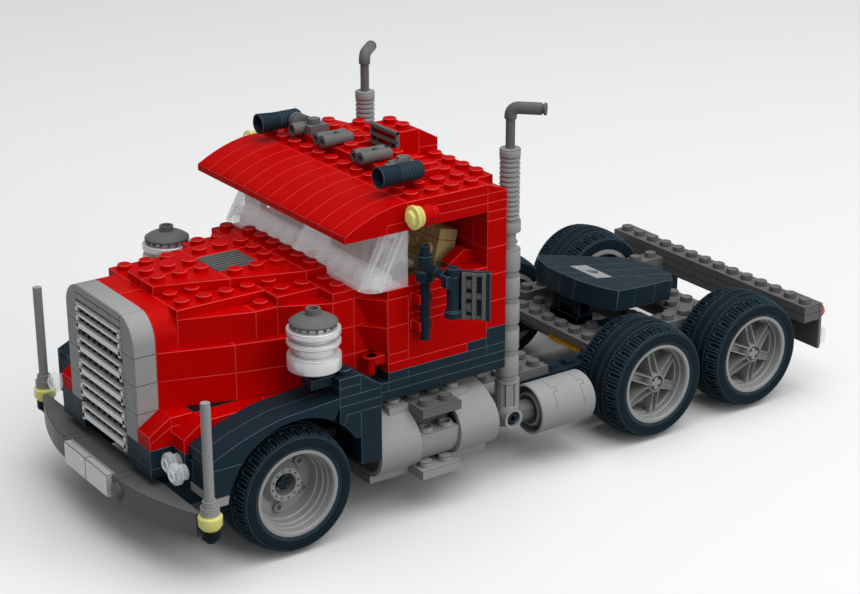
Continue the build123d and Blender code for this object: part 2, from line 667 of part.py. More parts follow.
# ======== wheels ========
def tyre(row, side):
    x0, x1 = sorted((side * TYRE_IN, side * BODY_HALF))
    y = y_row(row)
    with BuildSketch(Plane.XY.offset(AXLE_Z)) as section:
        with BuildLine():
            Polyline((x0, y + RIM_R), (x0, y + TYRE_R - TYRE_SHOULDER), (x0 + TYRE_SHOULDER, y + TYRE_R),
                     (x1 - TYRE_SHOULDER, y + TYRE_R), (x1, y + TYRE_R - TYRE_SHOULDER), (x1, y + RIM_R),
                     close=True)
        make_face()
    revolve(section.sketch, Axis((0, y, AXLE_Z), (1, 0, 0)))


def rim(row, side, deep):
    y = y_row(row)
    face = side * (BODY_HALF - 0.4)
    back = side * TYRE_IN
    web = side * (BODY_HALF - (9.0 if deep else 1.2))
    web_back = side * (BODY_HALF - (12.0 if deep else 5.0))
    x0, x1 = sorted((back, face))
    along_x(y, AXLE_Z, x0, x1, RIM_R)
    along_x(y, AXLE_Z, x0, x1, RIM_R - RIM_LIP, Mode.SUBTRACT)
    w0, w1 = sorted((web, web_back))
    along_x(y, AXLE_Z, w0, w1, RIM_R - RIM_LIP)
    h0, h1 = sorted((side * (BODY_HALF - 1.0), back))
    along_x(y, AXLE_Z, h0, h1, FRONT_HUB_R if deep else HUB_R)
    if not deep:
        for i in range(RIM_SPOKES):
            a = math.radians(360 / RIM_SPOKES * (i + 0.5))
            along_x(y + 9.0 * math.cos(a), AXLE_Z + 9.0 * math.sin(a), w0, w1, 2.6, Mode.SUBTRACT)
    along_x(y, AXLE_Z, h0, h1, AXLE_R, Mode.SUBTRACT)


def axle(row):
    half = BODY_HALF - 1.0
    along_x(y_row(row), AXLE_Z, -half, half, AXLE_R)


with BuildPart() as front_tyres:
    for side in (-1, 1):
        tyre(AXLE_ROWS[0], side)
save(front_tyres, "front_tyres")

with BuildPart() as front_rims:
    for side in (-1, 1):
        rim(AXLE_ROWS[0], side, True)
save(front_rims, "front_rims")

with BuildPart() as front_axle:
    axle(AXLE_ROWS[0])
save(front_axle, "front_axle")

with BuildPart() as middle_tyres:
    for side in (-1, 1):
        tyre(AXLE_ROWS[1], side)
save(middle_tyres, "middle_tyres")

with BuildPart() as middle_rims:
    for side in (-1, 1):
        rim(AXLE_ROWS[1], side, False)
save(middle_rims, "middle_rims")

with BuildPart() as middle_axle:
    axle(AXLE_ROWS[1])
save(middle_axle, "middle_axle")

with BuildPart() as rear_tyres:
    for side in (-1, 1):
        tyre(AXLE_ROWS[2], side)
save(rear_tyres, "rear_tyres")

with BuildPart() as rear_rims:
    for side in (-1, 1):
        rim(AXLE_ROWS[2], side, False)
save(rear_rims, "rear_rims")

with BuildPart() as rear_axle:
    axle(AXLE_ROWS[2])
save(rear_axle, "rear_axle")
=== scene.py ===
# %% [markdown]
# # A toy truck tractor, brick by brick
# The truck is put together from moulded plastic bricks on an 8 mm grid, so every shape here comes from that
# grid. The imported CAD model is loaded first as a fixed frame. Each visible piece is then rebuilt over its own
# CAD node with the seams, ribs, notches and rounded edges that make a toy look moulded, not drawn.

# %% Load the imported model
import math

import bmesh
import bpy
from mathutils import Matrix, Vector


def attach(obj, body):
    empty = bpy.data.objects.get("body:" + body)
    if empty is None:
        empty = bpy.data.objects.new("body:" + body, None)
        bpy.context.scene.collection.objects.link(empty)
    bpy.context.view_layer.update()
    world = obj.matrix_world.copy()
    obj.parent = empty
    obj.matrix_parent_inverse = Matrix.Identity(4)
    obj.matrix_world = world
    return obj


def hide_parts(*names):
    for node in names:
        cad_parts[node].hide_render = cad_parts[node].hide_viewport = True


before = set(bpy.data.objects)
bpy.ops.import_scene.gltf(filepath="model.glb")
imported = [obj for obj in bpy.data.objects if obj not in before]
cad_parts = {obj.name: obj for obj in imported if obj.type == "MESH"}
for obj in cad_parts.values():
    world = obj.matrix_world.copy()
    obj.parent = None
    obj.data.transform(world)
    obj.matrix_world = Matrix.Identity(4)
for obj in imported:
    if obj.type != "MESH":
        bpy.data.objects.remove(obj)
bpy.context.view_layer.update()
print("CAD nodes", len(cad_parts))

# %% [markdown]
# ## Where we look from
# A long lens, high in front of the left corner, keeps the grid lines nearly parallel. A camera object could be
# aimed with a Track To constraint. Plain angles are used, so that nothing has to be solved when it moves.

# %% Camera
camera_data = bpy.data.cameras.new("corner_view")
camera_data.lens = 82.95
camera_data.shift_x = -0.00785
camera_data.shift_y = 0.00019
camera = bpy.data.objects.new("corner_view", camera_data)
camera.location = (0.54626, -0.38588, 0.30871)
camera.rotation_euler = (math.radians(90 - 21.106), 0, math.radians(54.849))
bpy.context.collection.objects.link(camera)
bpy.context.scene.camera = camera
bpy.context.scene.view_settings.view_transform = "Standard"
print("camera at", [round(v, 3) for v in camera.location])

# %% [markdown]
# ## Moulded plastic
# The bricks are solid-coloured, glossy and very slightly uneven: the surface sinks a little as it cools, and
# handling dulls some patches. Image textures could show that, but noise in the shader works at any zoom and
# needs no unwrapping. One noise shifts the colour by a few percent, a second the roughness, and a third drives
# a shallow bump. Each colour also has an edge finish for its rounded edges, and it is painted light: a painted
# highlight, paler than the face, on red, midnight and black, and painted shade, darker, on greys, tan and gold.

# %% Plastic finishes
def paint(r, g, b):
    """A colour picked as 0 to 255 values, turned into the linear values that shaders use."""
    values = [v / 255 for v in (r, g, b)]
    return [v / 12.92 if v <= 0.04045 else ((v + 0.055) / 1.055) ** 2.4 for v in values] + [1.0]


def node_noise(tree, scale, detail):
    """Noise placed by object coordinates, in cells per metre."""
    place = tree.nodes.new("ShaderNodeTexCoord")
    noise = tree.nodes.new("ShaderNodeTexNoise")
    noise.inputs["Scale"].default_value = scale
    noise.inputs["Detail"].default_value = detail
    tree.links.new(place.outputs["Object"], noise.inputs["Vector"])
    return noise.outputs["Fac"]


def between(tree, factor, low, high):
    """Maps the middle of a noise to the range from low to high."""
    spread = tree.nodes.new("ShaderNodeMapRange")
    for socket, value in zip(("From Min", "From Max", "To Min", "To Max"), (0.3, 0.7, low, high)):
        spread.inputs[socket].default_value = value
    tree.links.new(factor, spread.inputs["Value"])
    return spread.outputs["Result"]


def shade(tree, factor, colour, change):
    """Two near shades of one colour, mixed by a noise."""
    mix = tree.nodes.new("ShaderNodeMix")
    mix.data_type = "RGBA"
    mix.inputs["A"].default_value = [v * (1 - change) for v in colour[:3]] + [1]
    mix.inputs["B"].default_value = [min(1, v * (1 + change)) for v in colour[:3]] + [1]
    tree.links.new(factor, mix.inputs["Factor"])
    return mix.outputs["Result"]


def finish(name, colour, gloss=(0.32, 0.46), change=0.05, bump=0.00003, grain=160, metal=0.0, shine=0.1):
    """A moulded surface with uneven colour, uneven gloss and a shallow bump."""
    made = bpy.data.materials.new(name)
    made.use_nodes = True
    tree = made.node_tree
    surface = tree.nodes["Principled BSDF"]
    surface.inputs["Metallic"].default_value = metal
    surface.inputs["IOR"].default_value = 1.5
    surface.inputs["Specular IOR Level"].default_value = shine
    tree.links.new(shade(tree, node_noise(tree, grain, 3), colour, change), surface.inputs["Base Color"])
    tree.links.new(between(tree, node_noise(tree, grain * 2.3, 4), *gloss), surface.inputs["Roughness"])
    dent = tree.nodes.new("ShaderNodeBump")
    dent.inputs["Distance"].default_value = bump
    dent.inputs["Strength"].default_value = 0.6
    tree.links.new(node_noise(tree, grain * 3.1, 2), dent.inputs["Height"])
    tree.links.new(dent.outputs["Normal"], surface.inputs["Normal"])
    made.diffuse_color = colour
    return made


# Face and edge colours. The edge colour is a painted highlight where paler than the face, painted shade where
# darker.
PLASTICS = {
    "red": ((198, 2, 2), (232, 70, 66)),
    "midnight": ((30, 46, 57), (78, 100, 112)),
    "dark_grey": ((110, 110, 110), (70, 70, 70)),
    "light_grey": ((163, 163, 163), (98, 98, 98)),
    "black": ((22, 26, 30), (60, 66, 72)),
    "tan": ((196, 181, 125), (120, 108, 66)),
    "gold": ((228, 182, 10), (150, 116, 8)),
}
finishes = {}
for name, (face, edge) in PLASTICS.items():
    shine = {"red": 0.04, "midnight": 0.06, "black": 0.06}.get(name, 0.1)
    finishes[name] = (finish(name + "_plastic", paint(*face), shine=shine),
                      finish(name + "_edge", paint(*edge)))
# The rim and silver edge colours are painted shade, darker than the face; the tyre's is a painted highlight.
finishes["rim"] = (finish("rim_plastic", paint(160, 160, 160), gloss=(0.2, 0.3), shine=0.45),
                   finish("rim_edge_shade", paint(84, 84, 84), shine=0.2))
finishes["silver"] = (finish("silver_plate", paint(232, 233, 234), gloss=(0.18, 0.28), metal=0.2, shine=0.3),
                      finish("silver_edge_shade", paint(150, 150, 150), gloss=(0.2, 0.3), metal=0.2, shine=0.3))
finishes["tyre"] = (
    finish("tyre_rubber", paint(24, 37, 46), gloss=(0.5, 0.68), bump=0.00008, grain=420, shine=0.06),
    finish("tyre_edge_highlight", paint(70, 92, 104), gloss=(0.45, 0.6), bump=0.00004, grain=420))
print("finishes", ", ".join(finishes))

# %% [markdown]
# ## Clear plastic
# The windscreen and lamps are clear and milky, with what is behind them still plain to see. Pure glass would
# bend the cab out of shape through its thick walls. A pale see-through surface stands for them, with a faint
# light of its own, which is painted light: it makes them brighter than the studio lamps alone would.

# %% Clear finishes
def clear_finish(name, colour, alpha, painted_glow):
    """A smooth surface that lets part of the light through and gives off a faint light of its own, which is
    painted light.
    """
    made = finish(name, colour, gloss=(0.08, 0.16), change=0.03, bump=0.00001, shine=0.3)
    surface = made.node_tree.nodes["Principled BSDF"]
    surface.inputs["Alpha"].default_value = alpha
    surface.inputs["Emission Color"].default_value = colour
    surface.inputs["Emission Strength"].default_value = painted_glow
    return made


# The last number of each is the strength of its painted light, given off by parts that are not lit lamps.
for name, colour, alpha, painted_glow in (("clear", (232, 235, 237), 0.26, 0.2),
                                  ("clear_yellow", (238, 234, 140), 0.72, 0.1),
                                  ("clear_red", (214, 74, 52), 0.7, 0.08)):
    finishes[name] = (clear_finish(name + "_plastic", paint(*colour), alpha, painted_glow),
                      clear_finish(name + "_edge", paint(*colour), min(1.0, alpha + 0.2), painted_glow))
print("clear finishes made, in all", len(finishes))

# %% [markdown]
# ## Gathering shapes into pieces
# A brick could be a cube with a Bevel modifier, but there are hundreds of them. So each piece gathers its
# closed shapes in one mesh. Every shape is chamfered by itself before it goes in, with 0.16 mm edges that take
# the edge finish. Two bricks side by side then show a thin seam of painted light: a painted highlight where the
# edge finish is paler than the face, painted shade where it is darker.

# %% The moulding bench
GRILLE_Y = -134.4      # y of the grille's front face, in mm
PITCH = 8.0
PLATE = 3.2
RAIL_TOP = 25.4        # height of level 0
AXLE_Z = 21.6          # height of the wheels' axles
EDGE = 0.16            # width of a brick's rounded edge


def level(n):
    """The height of the top of the nth plate above the rails."""
    return RAIL_TOP + PLATE * n


def arc(middle, radius, start, end, steps):
    """Points on a circle about a middle, from one angle in degrees to another."""
    angles = [math.radians(start + (end - start) * i / steps) for i in range(steps + 1)]
    return [(middle[0] + radius * math.cos(a), middle[1] + radius * math.sin(a)) for a in angles]


def ring_of(count, middle, radius, start=0):
    """Points set evenly all round a circle."""
    return arc(middle, radius, start, start + 360, count)[:-1]


AXES = {"z": Matrix.Identity(3), "d": Matrix.Rotation(math.radians(-90), 3, "X"),
        "x": Matrix.Rotation(math.radians(90), 3, "Y")}


class Moulding:
    """Closed shapes in millimetres, placed by (across, behind the grille, up)."""

    def __init__(self):
        self.points, self.faces, self.tones = [], [], []

    def pour(self, shape, edge, tone=0):
        """Chamfers the shape's sharp edges and adds it."""
        bmesh.ops.recalc_face_normals(shape, faces=shape.faces)
        if edge:
            sharp = [e for e in shape.edges if len(e.link_faces) == 2 and e.calc_face_angle() > 0.6]
            # The chamfer faces get material 1, the edge finish, which is painted light along each edge.
            bmesh.ops.bevel(shape, geom=sharp, offset=edge, segments=1, affect="EDGES", profile=0.5,
                            clamp_overlap=True, material=1)
        first = len(self.points)
        shape.verts.index_update()
        self.points += [v.co.copy() for v in shape.verts]
        for face in shape.faces:
            self.faces.append([first + v.index for v in face.verts])
            self.tones.append(max(face.material_index, tone))
        shape.free()

    def loft(self, low, high, edge=0.1, tone=0):
        """Two outlines of as many 3-D points, joined by a wall and closed at both ends."""
        shape = bmesh.new()
        near = [shape.verts.new(p) for p in low]
        far = [shape.verts.new(p) for p in high]
        shape.faces.new(near)
        shape.faces.new(far[::-1])
        for i in range(len(near)):
            j = (i + 1) % len(near)
            shape.faces.new((near[i], near[j], far[j], far[i]))
        self.pour(shape, edge, tone)

    def prism(self, outline, push, edge=EDGE, tone=0):
        """An outline of 3-D points, pushed along a vector."""
        self.loft(outline, [Vector(p) + Vector(push) for p in outline], edge, tone)

    def block(self, x0, x1, d0, d1, z0, z1, edge=EDGE, tone=0):
        self.prism([(x0, d0, z0), (x1, d0, z0), (x1, d1, z0), (x0, d1, z0)], (0, 0, z1 - z0), edge, tone)

    def bricks(self, c0, c1, rows, l0, l1, edge=EDGE):
        """Bricks side by side between the given rows, from column c0 to c1 and level l0 to l1."""
        for r0, r1 in zip(rows, rows[1:]):
            self.block(c0 * PITCH, c1 * PITCH, r0 * PITCH, r1 * PITCH, level(l0), level(l1), edge)

    def plan(self, outline, z0, z1, edge=EDGE, tone=0):
        """An outline of (x, d), pushed up."""
        self.prism([(x, d, z0) for x, d in outline], (0, 0, z1 - z0), edge, tone)

    def side(self, outline, x0, x1, edge=EDGE, tone=0):
        """An outline of (d, z), pushed across."""
        self.prism([(x0, d, z) for d, z in outline], (x1 - x0, 0, 0), edge, tone)

    def front(self, outline, d0, d1, edge=EDGE, tone=0):
        """An outline of (x, z), pushed back."""
        self.prism([(x, d0, z) for x, z in outline], (0, d1 - d0, 0), edge, tone)

    def turned(self, profile, at, axis="z", sides=24, edge=0.12, hollow=False, tone=0, turn=None):
        """A profile of (radius, distance along the axis), spun round. A hollow one closes on itself."""
        spin = AXES[axis] if turn is None else turn
        shape = bmesh.new()
        rings = []
        for radius, along in profile:
            ring = []
            for i in range(sides):
                a = 2 * math.pi * (i + 0.5) / sides
                p = spin @ Vector((radius * math.cos(a), radius * math.sin(a), along))
                ring.append(shape.verts.new(p + Vector(at)))
            rings.append(ring)
        pairs = list(zip(rings, rings[1:]))
        if hollow:
            pairs.append((rings[-1], rings[0]))
        else:
            shape.faces.new(rings[0])
            shape.faces.new(rings[-1])
        for low, high in pairs:
            for i in range(sides):
                j = (i + 1) % sides
                shape.faces.new((low[i], low[j], high[j], high[i]))
        self.pour(shape, edge, tone)

    def mirrored(self):
        """The same shapes as they are on the other side of the truck."""
        other = Moulding()
        other.points = [Vector((-p[0], p[1], p[2])) for p in self.points]
        other.faces = [face[::-1] for face in self.faces]
        other.tones = list(self.tones)
        return other

    def copies(self, other, shifts=((0, 0, 0),)):
        """Adds another moulding once at each shift."""
        for shift in shifts:
            first = len(self.points)
            self.points += [p + Vector(shift) for p in other.points]
            self.faces += [[first + i for i in face] for face in other.faces]
            self.tones += other.tones


stud = Moulding()
stud.turned([(2.4, -0.1), (2.4, 1.8)], (0, 0, 0), edge=0.22)
open_stud = Moulding()
open_stud.turned([(1.65, -0.1), (2.4, -0.1), (2.4, 1.8), (1.65, 1.8)], (0, 0, 0), edge=0.18, hollow=True)
print("one stud has", len(stud.faces), "faces")


def put_studs(moulding, columns, rows, n, kind=stud):
    """Studs on the cells whose low corner is the given column and row."""
    moulding.copies(kind, [((c + 0.5) * PITCH, (r + 0.5) * PITCH, level(n)) for c in columns for r in rows])


made_pieces = []


def make(name, moulding, colour, nodes, body="truck", slot=None):
    """Turns a moulding into an object that rides a body and stands for its CAD nodes."""
    mesh = bpy.data.meshes.new(name)
    scaled = [(p[0] / 1000, (p[1] + GRILLE_Y) / 1000, p[2] / 1000) for p in moulding.points]
    mesh.from_pydata(scaled, [], moulding.faces)
    for material in finishes[colour]:
        mesh.materials.append(material)
    mesh.polygons.foreach_set("material_index", moulding.tones)
    mesh.shade_smooth()
    mesh.set_sharp_from_angle(angle=math.radians(33))
    piece = bpy.data.objects.new(name, mesh)
    bpy.context.collection.objects.link(piece)
    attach(piece, body)
    if nodes:
        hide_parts(*nodes)
    made_pieces.append(piece)
    print(name, len(mesh.polygons), "faces")


def make_pair(name, moulding, *rest, **named):
    """Adds the moulding's mirror image, for the other side of the truck, and makes both as one piece."""
    moulding.copies(moulding.mirrored())
    make(name, moulding, *rest, **named)

# %% [markdown]
# ## Chassis plates
# The frame is a ladder of plates on two rails. Each plate could carry its studs by a Geometry Nodes grid, but a
# ready-made stud copied to each cell keeps every rim crisp and needs no instances. Plates meet where the real
# plates do, so their seams run across the deck.

# %% Frame and rear deck
deck = Moulding()
deck.bricks(-4, 4, (1, 6, 12, 16), 0, 1)
deck.bricks(-4, 4, (16, 18, 20), 0, 1)
put_studs(deck, range(-4, 4), range(16, 20), 1)
deck.bricks(-3, 3, (23, 25), 0, 1)
put_studs(deck, range(-4, 4), (23,), 1)
put_studs(deck, (-3, -2, 1, 2), (24,), 1)
deck.bricks(-3, 3, (26.5, 27.5), 0, 1)
put_studs(deck, range(-3, 3), (26.5,), 1)
deck.bricks(-3, 3, (29, 31), 0, 1)
put_studs(deck, range(-3, 3), (29, 30), 1)
side_plates = Moulding()
side_plates.bricks(3, 4, (23, 24), 0, 1)
side_plates.bricks(2, 3, (27.5, 29), 0, 1)
put_studs(side_plates, (2,), (28,), 1)
side_plates.bricks(3, 4, (24, 28.5, 33), 0, 1)
side_plates.bricks(3, 4, (24, 28, 33), 1, 2)
put_studs(side_plates, (3,), range(24, 33), 2)
side_plates.copies(side_plates.mirrored())
deck.copies(side_plates)
make("deck_plates", deck, "dark_grey", ["chassis_plates"])

strips = Moulding()
for x0, x1, d0, d1 in ((1, 20, 184, 188), (4, 17, 221, 227)):
    strips.block(x0, x1, d0 + 0.6, d1, 23.2, 25.4)
    for i in range(int((x1 - x0) / 1.9)):
        strips.turned([(0.75, 0), (0.75, d1 - d0)], (x0 + 1 + 1.9 * i, d0, 23.8), "d", 8, 0.1)
make("gold_ribs", strips, "gold", ["gold_strips"])

# %% [markdown]
# ## Coupling
# The trailer's pin drops into a dark disc that tips on a cross pin. It is two half discs and a tail on the real
# toy, so it is drawn as flat outlines in the plate's own tilted plane and pushed square to it. A rotated object
# would do too, but the frame needs every piece's shape in place and its object at rest.

# %% Coupling plate, insert and hinge
TILT = math.radians(9.4)
along = Vector((0, math.cos(TILT), -math.sin(TILT)))
square = Vector((0, math.sin(TILT), math.cos(TILT)))
datum = Vector((0, 196, 35)) + along * 2.12 + square * 11.7


def on_plate(x, y, drop=0.0):
    """A point on the tilted plate: across, back along it, and down from its top face."""
    return datum + Vector((x, 0, 0)) + along * y - square * drop


DISC_THICK = 8.0
disc = Moulding()
PARTS = [[(0, -9.4), (8, -9.0), (8, 1.4), (0, 1.4)],
         [(8, -9.0), (10.3, -8.7), (18.5, -5.8), (24.4, -1.4), (23.6, 1.7), (22.0, 9.4), (8, 9.4)],
         [(8, 9.4), (22.0, 9.4), (20.7, 14.7), (18.4, 22.5), (8, 22.5)],
         [(8, 22.5), (18.4, 22.5), (16.5, 28.7), (15.7, 33.5), (8, 39.5)],
         [(0, 9.4), (8, 9.4), (8, 39.5), (0, 39.5)]]
for outline in PARTS:
    disc.prism([on_plate(x, y) for x, y in outline], -square * DISC_THICK, 0.14)
disc.copies(disc.mirrored())
disc.prism([on_plate(x, y, DISC_THICK) for x, y in ((-3.9, -4.6), (3.9, -4.6), (3.9, 0.4), (-3.9, 0.4))],
           -square * 4.0)
disc.turned([(2.9, -3.9), (2.9, 3.9)], (0, 196, 35), "x", 20)
disc.turned([(1.6, -8), (1.6, 8)], (0, 196, 35), "x", 16)
make("coupling_disc", disc, "midnight", ["coupling_plate"], "coupling")

insert = Moulding()
hole = ring_of(24, (0, 5.8), 2.45, 7.5)
for s in (1, -1):
    rim = [(s * 8, 1.45), (s * 8, 9.35), (0, 9.35)]
    bend = sorted([(x * s, y) for x, y in hole if x > 0], key=lambda p: -p[1])
    half = rim + [(0, 8.25)] + bend + [(0, 3.35), (0, 1.45)]
    insert.prism([on_plate(x, y) for x, y in half], -square * DISC_THICK, 0.0)
make("pin_insert", insert, "light_grey", ["coupling_insert"], "coupling")

hinge = Moulding()
hinge.block(-8, 8, 192, 200, level(1), level(2))
for x0, x1 in ((4.05, 5.6), (6.4, 8.0)):
    hinge.side([(193, level(2)), (199, level(2)), (199, 35), (198.1, 37.1), (196, 38), (193.9, 37.1),
                (193, 35)], x0, x1)
hinge.turned([(2.1, 4.05), (2.1, 8.0)], (0, 196, 35), "x", 16)
make_pair("hinge_cheeks", hinge, "midnight", ["coupling_hinge_base"])

# %% [markdown]
# ## Tail
# The rear bar is two long plates with a studded top, and a bracket at each end holds a clear red round plate
# over a clear tile. Lamps are turned shapes, because a profile spun round gives a clean rim in a few points.

# %% Tail bar, brackets and lamps
bar = Moulding()
bar.bricks(-7, 7, (33, 34), 1, 2)
for c0, c1 in ((-7, -1), (-1, 1), (1, 7)):
    bar.bricks(c0, c1, (33, 34), 2, 3)
bar.bricks(-4, 4, (33, 34), 0, 1)
put_studs(bar, range(-7, 7), (33,), 3)
make("tail_plates", bar, "dark_grey", ["tail_bar"])

bracket = Moulding()
bracket.block(40, 56, 272, 273.6, 16.5, 35)
make_pair("tail_bracket_pair", bracket, "dark_grey", ["tail_brackets"])

lamp = Moulding()
lamp.turned([(2.6, 0), (3.0, 0.2), (3.0, 2.0), (2.4, 2.1), (2.4, 3.2)], (52, 273.6, 30.5), "d", 24)
make_pair("tail_lamp_pair", lamp, "clear_red", ["tail_lamps"])

tile = Moulding()
tile.block(48.1, 55.9, 273.6, 274.5, 17.6, 24.4, 0.1)
tile.block(48.3, 55.7, 274.3, 276.8, 17.8, 24.2, 0.3)
make_pair("tail_tile_pair", tile, "clear", ["tail_tiles"])

# %% [markdown]
# ## Bumper and guide poles
# The bumper is a long bowed bar with a blank sign plate between its halves. The bow is an arc, sampled to a
# smooth outline, because a chamfered polygon shows the same soft edge as a curve object with a bevel profile.

# %% Bumper
def bow(x):
    """How far the bumper's front face stands behind the grille face at x."""
    x = abs(x)
    if x < 20:
        return -6.2
    return -6.2 + 9.0 * ((x - 20) / 36) ** 1.7


bumper = Moulding()
for x0, x1 in ((16, 20), (20, 56)):
    steps = max(1, round((x1 - x0) / 3))
    front = [(x0 + (x1 - x0) * i / steps, bow(x0 + (x1 - x0) * i / steps)) for i in range(steps + 1)]
    bumper.plan(front + [(x1, 4.7), (x0, 4.7)], 17.4, 25.4)
bumper.copies(bumper.mirrored())
bumper.block(-16, 16, -4.8, 4.7, 17.4, 25.4)
bumper.turned([(2.9, 0), (2.9, 1.2), (2.4, 1.6), (0.9, 1.8)], (20, -5.9, 21.5), "d", 24,
              turn=Matrix.Rotation(math.radians(90), 3, "X"))
make("bumper_bar", bumper, "dark_grey", ["bumper"], slot="mid_grey")

sign = Moulding()
sign.block(-16, 16, -5.4, -4.8, 17.6, 25.7)
for x0 in (-16, 0):
    sign.block(x0 + 0.05, x0 + 15.95, -8.0, -5.4, 17.6, 25.7, 0.3)
make("blank_sign", sign, "silver", ["bumper_sign"])

foot = Moulding()
foot.block(50, 58, 4.7, 7.7, 18.2, 21.5)
foot.turned([(1.6, 0), (1.6, 1.4), (3.1, 1.5), (3.1, 4.7)], (60, 5.5, 16.8), "z", 20)
make_pair("pole_foot_pair", foot, "black", ["pole_feet"])

ring = Moulding()
ring.turned([(2.4, 0), (2.9, 0), (3.9, 1.6), (3.9, 4.4), (3.1, 4.4), (3.1, 5.0), (2.4, 5.0)],
            (60, 5.5, 21.5), "z", 24, hollow=True)
make_pair("pole_ring_pair", ring, "clear_yellow", ["pole_rings"])

pole = Moulding()
pole.turned([(3.1, 0), (3.1, 2.6), (2.4, 2.7), (2.4, 4.6), (1.6, 4.7), (1.6, 37.5)], (60, 5.5, 26.5), "z", 20)
make_pair("guide_pole_pair", pole, "light_grey", ["guide_poles"])

# %% [markdown]
# ## Grille
# The grille is a stack of curved shell bricks round a panel of silver slats. The slats are what the eye goes
# to, so each one is a bar with its own highlights, in front of dark teeth that break up the gaps. A texture
# would look flat from the side. The shell's rounded corners are arcs in the front outline.

# %% Grille shell and slats
def shell(x0, x1, z0, top=79.8, radius=9.0, half=24.0):
    """Half of the shell's front outline: a straight side with a rounded shoulder."""
    return [(x0, z0), (x1, z0)] + arc((half - radius, top - radius), radius, 0, 90, 10) + [(x0, top)]


GRILLE_COURSES = ((38.2, 47.8), (47.8, 57.4), (57.4, 67.0))
grille = Moulding()
for z0, z1 in GRILLE_COURSES:
    grille.block(16, 24, 0.3, 8, z0, z1)
shoulder = [(16, 67.0), (24, 67.0)] + shell(0, 24, 67.0)[2:-1]
grille.front([p for p in shoulder if p[0] >= 16] + [(16, 79.3)], 0.3, 8)
grille.copies(grille.mirrored())
grille.front([(-16, 75.0), (16, 75.0), (16, 79.3), (15, 79.8), (-15, 79.8), (-16, 79.3)], 0.3, 8)
make("grille_bricks", grille, "light_grey", ["grille_shell"], slot="mid_grey")

face = Moulding()
for z0, z1 in GRILLE_COURSES:
    face.block(16.1, 23.9, 0, 0.5, z0, z1, 0.1)
face.front([(min(x, 23.9), z) for x, z in shoulder if x >= 16] + [(16.1, 79.2)], 0, 0.5, 0.1)
face.copies(face.mirrored())
face.front([(-16, 77.4), (16, 77.4), (16, 79.2), (15, 79.7), (-15, 79.7), (-16, 79.2)], 0, 0.5, 0.1)
for x0 in (-16, -8, 0, 8):
    face.block(x0, x0 + 8, 0, 0.5, 75.0, 77.2, 0.1)
make("grille_face", face, "light_grey", [])

teeth = Moulding()
for z in (71.6, 68.3, 63.6, 60.1, 55.6, 52.0, 47.8, 44.2, 39.6, 35.8):
    for i in range(8):
        teeth.block(-15.4 + 4 * i, -13.0 + 4 * i, 0.2, 3, z - 0.5, z + 0.7, 0.0)
make("grille_teeth", teeth, "black", [])

slats = Moulding()
for i, z in enumerate((73.2, 69.9, 66.7, 61.7, 58.5, 53.5, 50.4, 45.7, 42.6, 37.4, 34.2)):
    low = 1.5 if i % 2 == 0 and i else 0.5
    slats.block(-16, 16, -0.5, 1.6, z - low, z + 0.7, 0.16)
    for x in (-15.1, 15.1):
        slats.block(x - 0.8, x + 0.8, -0.5, 2.6, z - 2.2, z + 0.3, 0.12)
make("grille_bars", slats, "silver", ["grille_slats"])

# %% [markdown]
# ## Hood
# The hood widens towards the cab in wedge plates, and each layer is one flat outline. Where a layer's edge
# crosses a stud below, the real plate is notched over it. A Boolean could cut the notches, but a low ledge set
# in the flank catches the light as the stud's rim does, and it keeps the mesh simple.

# %% Hood band, plates and vents
band = Moulding()
outline = shell(0, 24, 67.0)
band.front([(x, z) for x, z in outline if x > 0.01] + [(0, 79.8), (0, 67.0)], 8, 16)
make_pair("hood_band", band, "red", ["shell_band"])

hood = Moulding()
wedges = [[(0, 16), (8, 16), (16, 40), (0, 40)], [(8, 40), (16, 40), (24, 64), (8, 64)],
          [(0, 56), (8, 56), (8, 64), (0, 64)], [(0, 64), (24, 64), (24, 72), (0, 72)]]
for outline in wedges:
    hood.plan(outline, level(17), level(18))
for outline in ([(0, 16), (24, 16), (24, 48), (0, 48)], [(0, 48), (32, 48), (32, 64), (0, 64)],
                [(0, 64), (40, 64), (40, 80), (0, 80)]):
    hood.plan(outline, level(16), level(17))
for columns, rows, n in (((0,), (2, 3, 4, 7), 18), ((1,), (5, 6, 7), 18), ((0, 1, 2), (8,), 18),
                         ((2,), range(2, 8), 17), ((1,), (2, 3, 4), 17), ((3,), (6, 7, 8), 17),
                         ((4,), (8,), 17)):
    put_studs(hood, columns, rows, n)
make_pair("hood_deck", hood, "red", ["hood_plates"])

vents = Moulding()
vents.block(-8, 8, 40, 56, level(17), level(17) + 1.2)
for half in (-8, 0):
    for i in range(4):
        x = half + 1.1 + 2.0 * i
        vents.block(x - 0.55, x + 0.55, 40.2, 55.8, level(17) + 1.0, level(18), 0.14)
    vents.block(half + 0.1, half + 7.9, 47.4, 48.6, level(17) + 1.0, level(17) + 2.2, 0.1)
make("hood_vent_slats", vents, "dark_grey", ["hood_vents"])

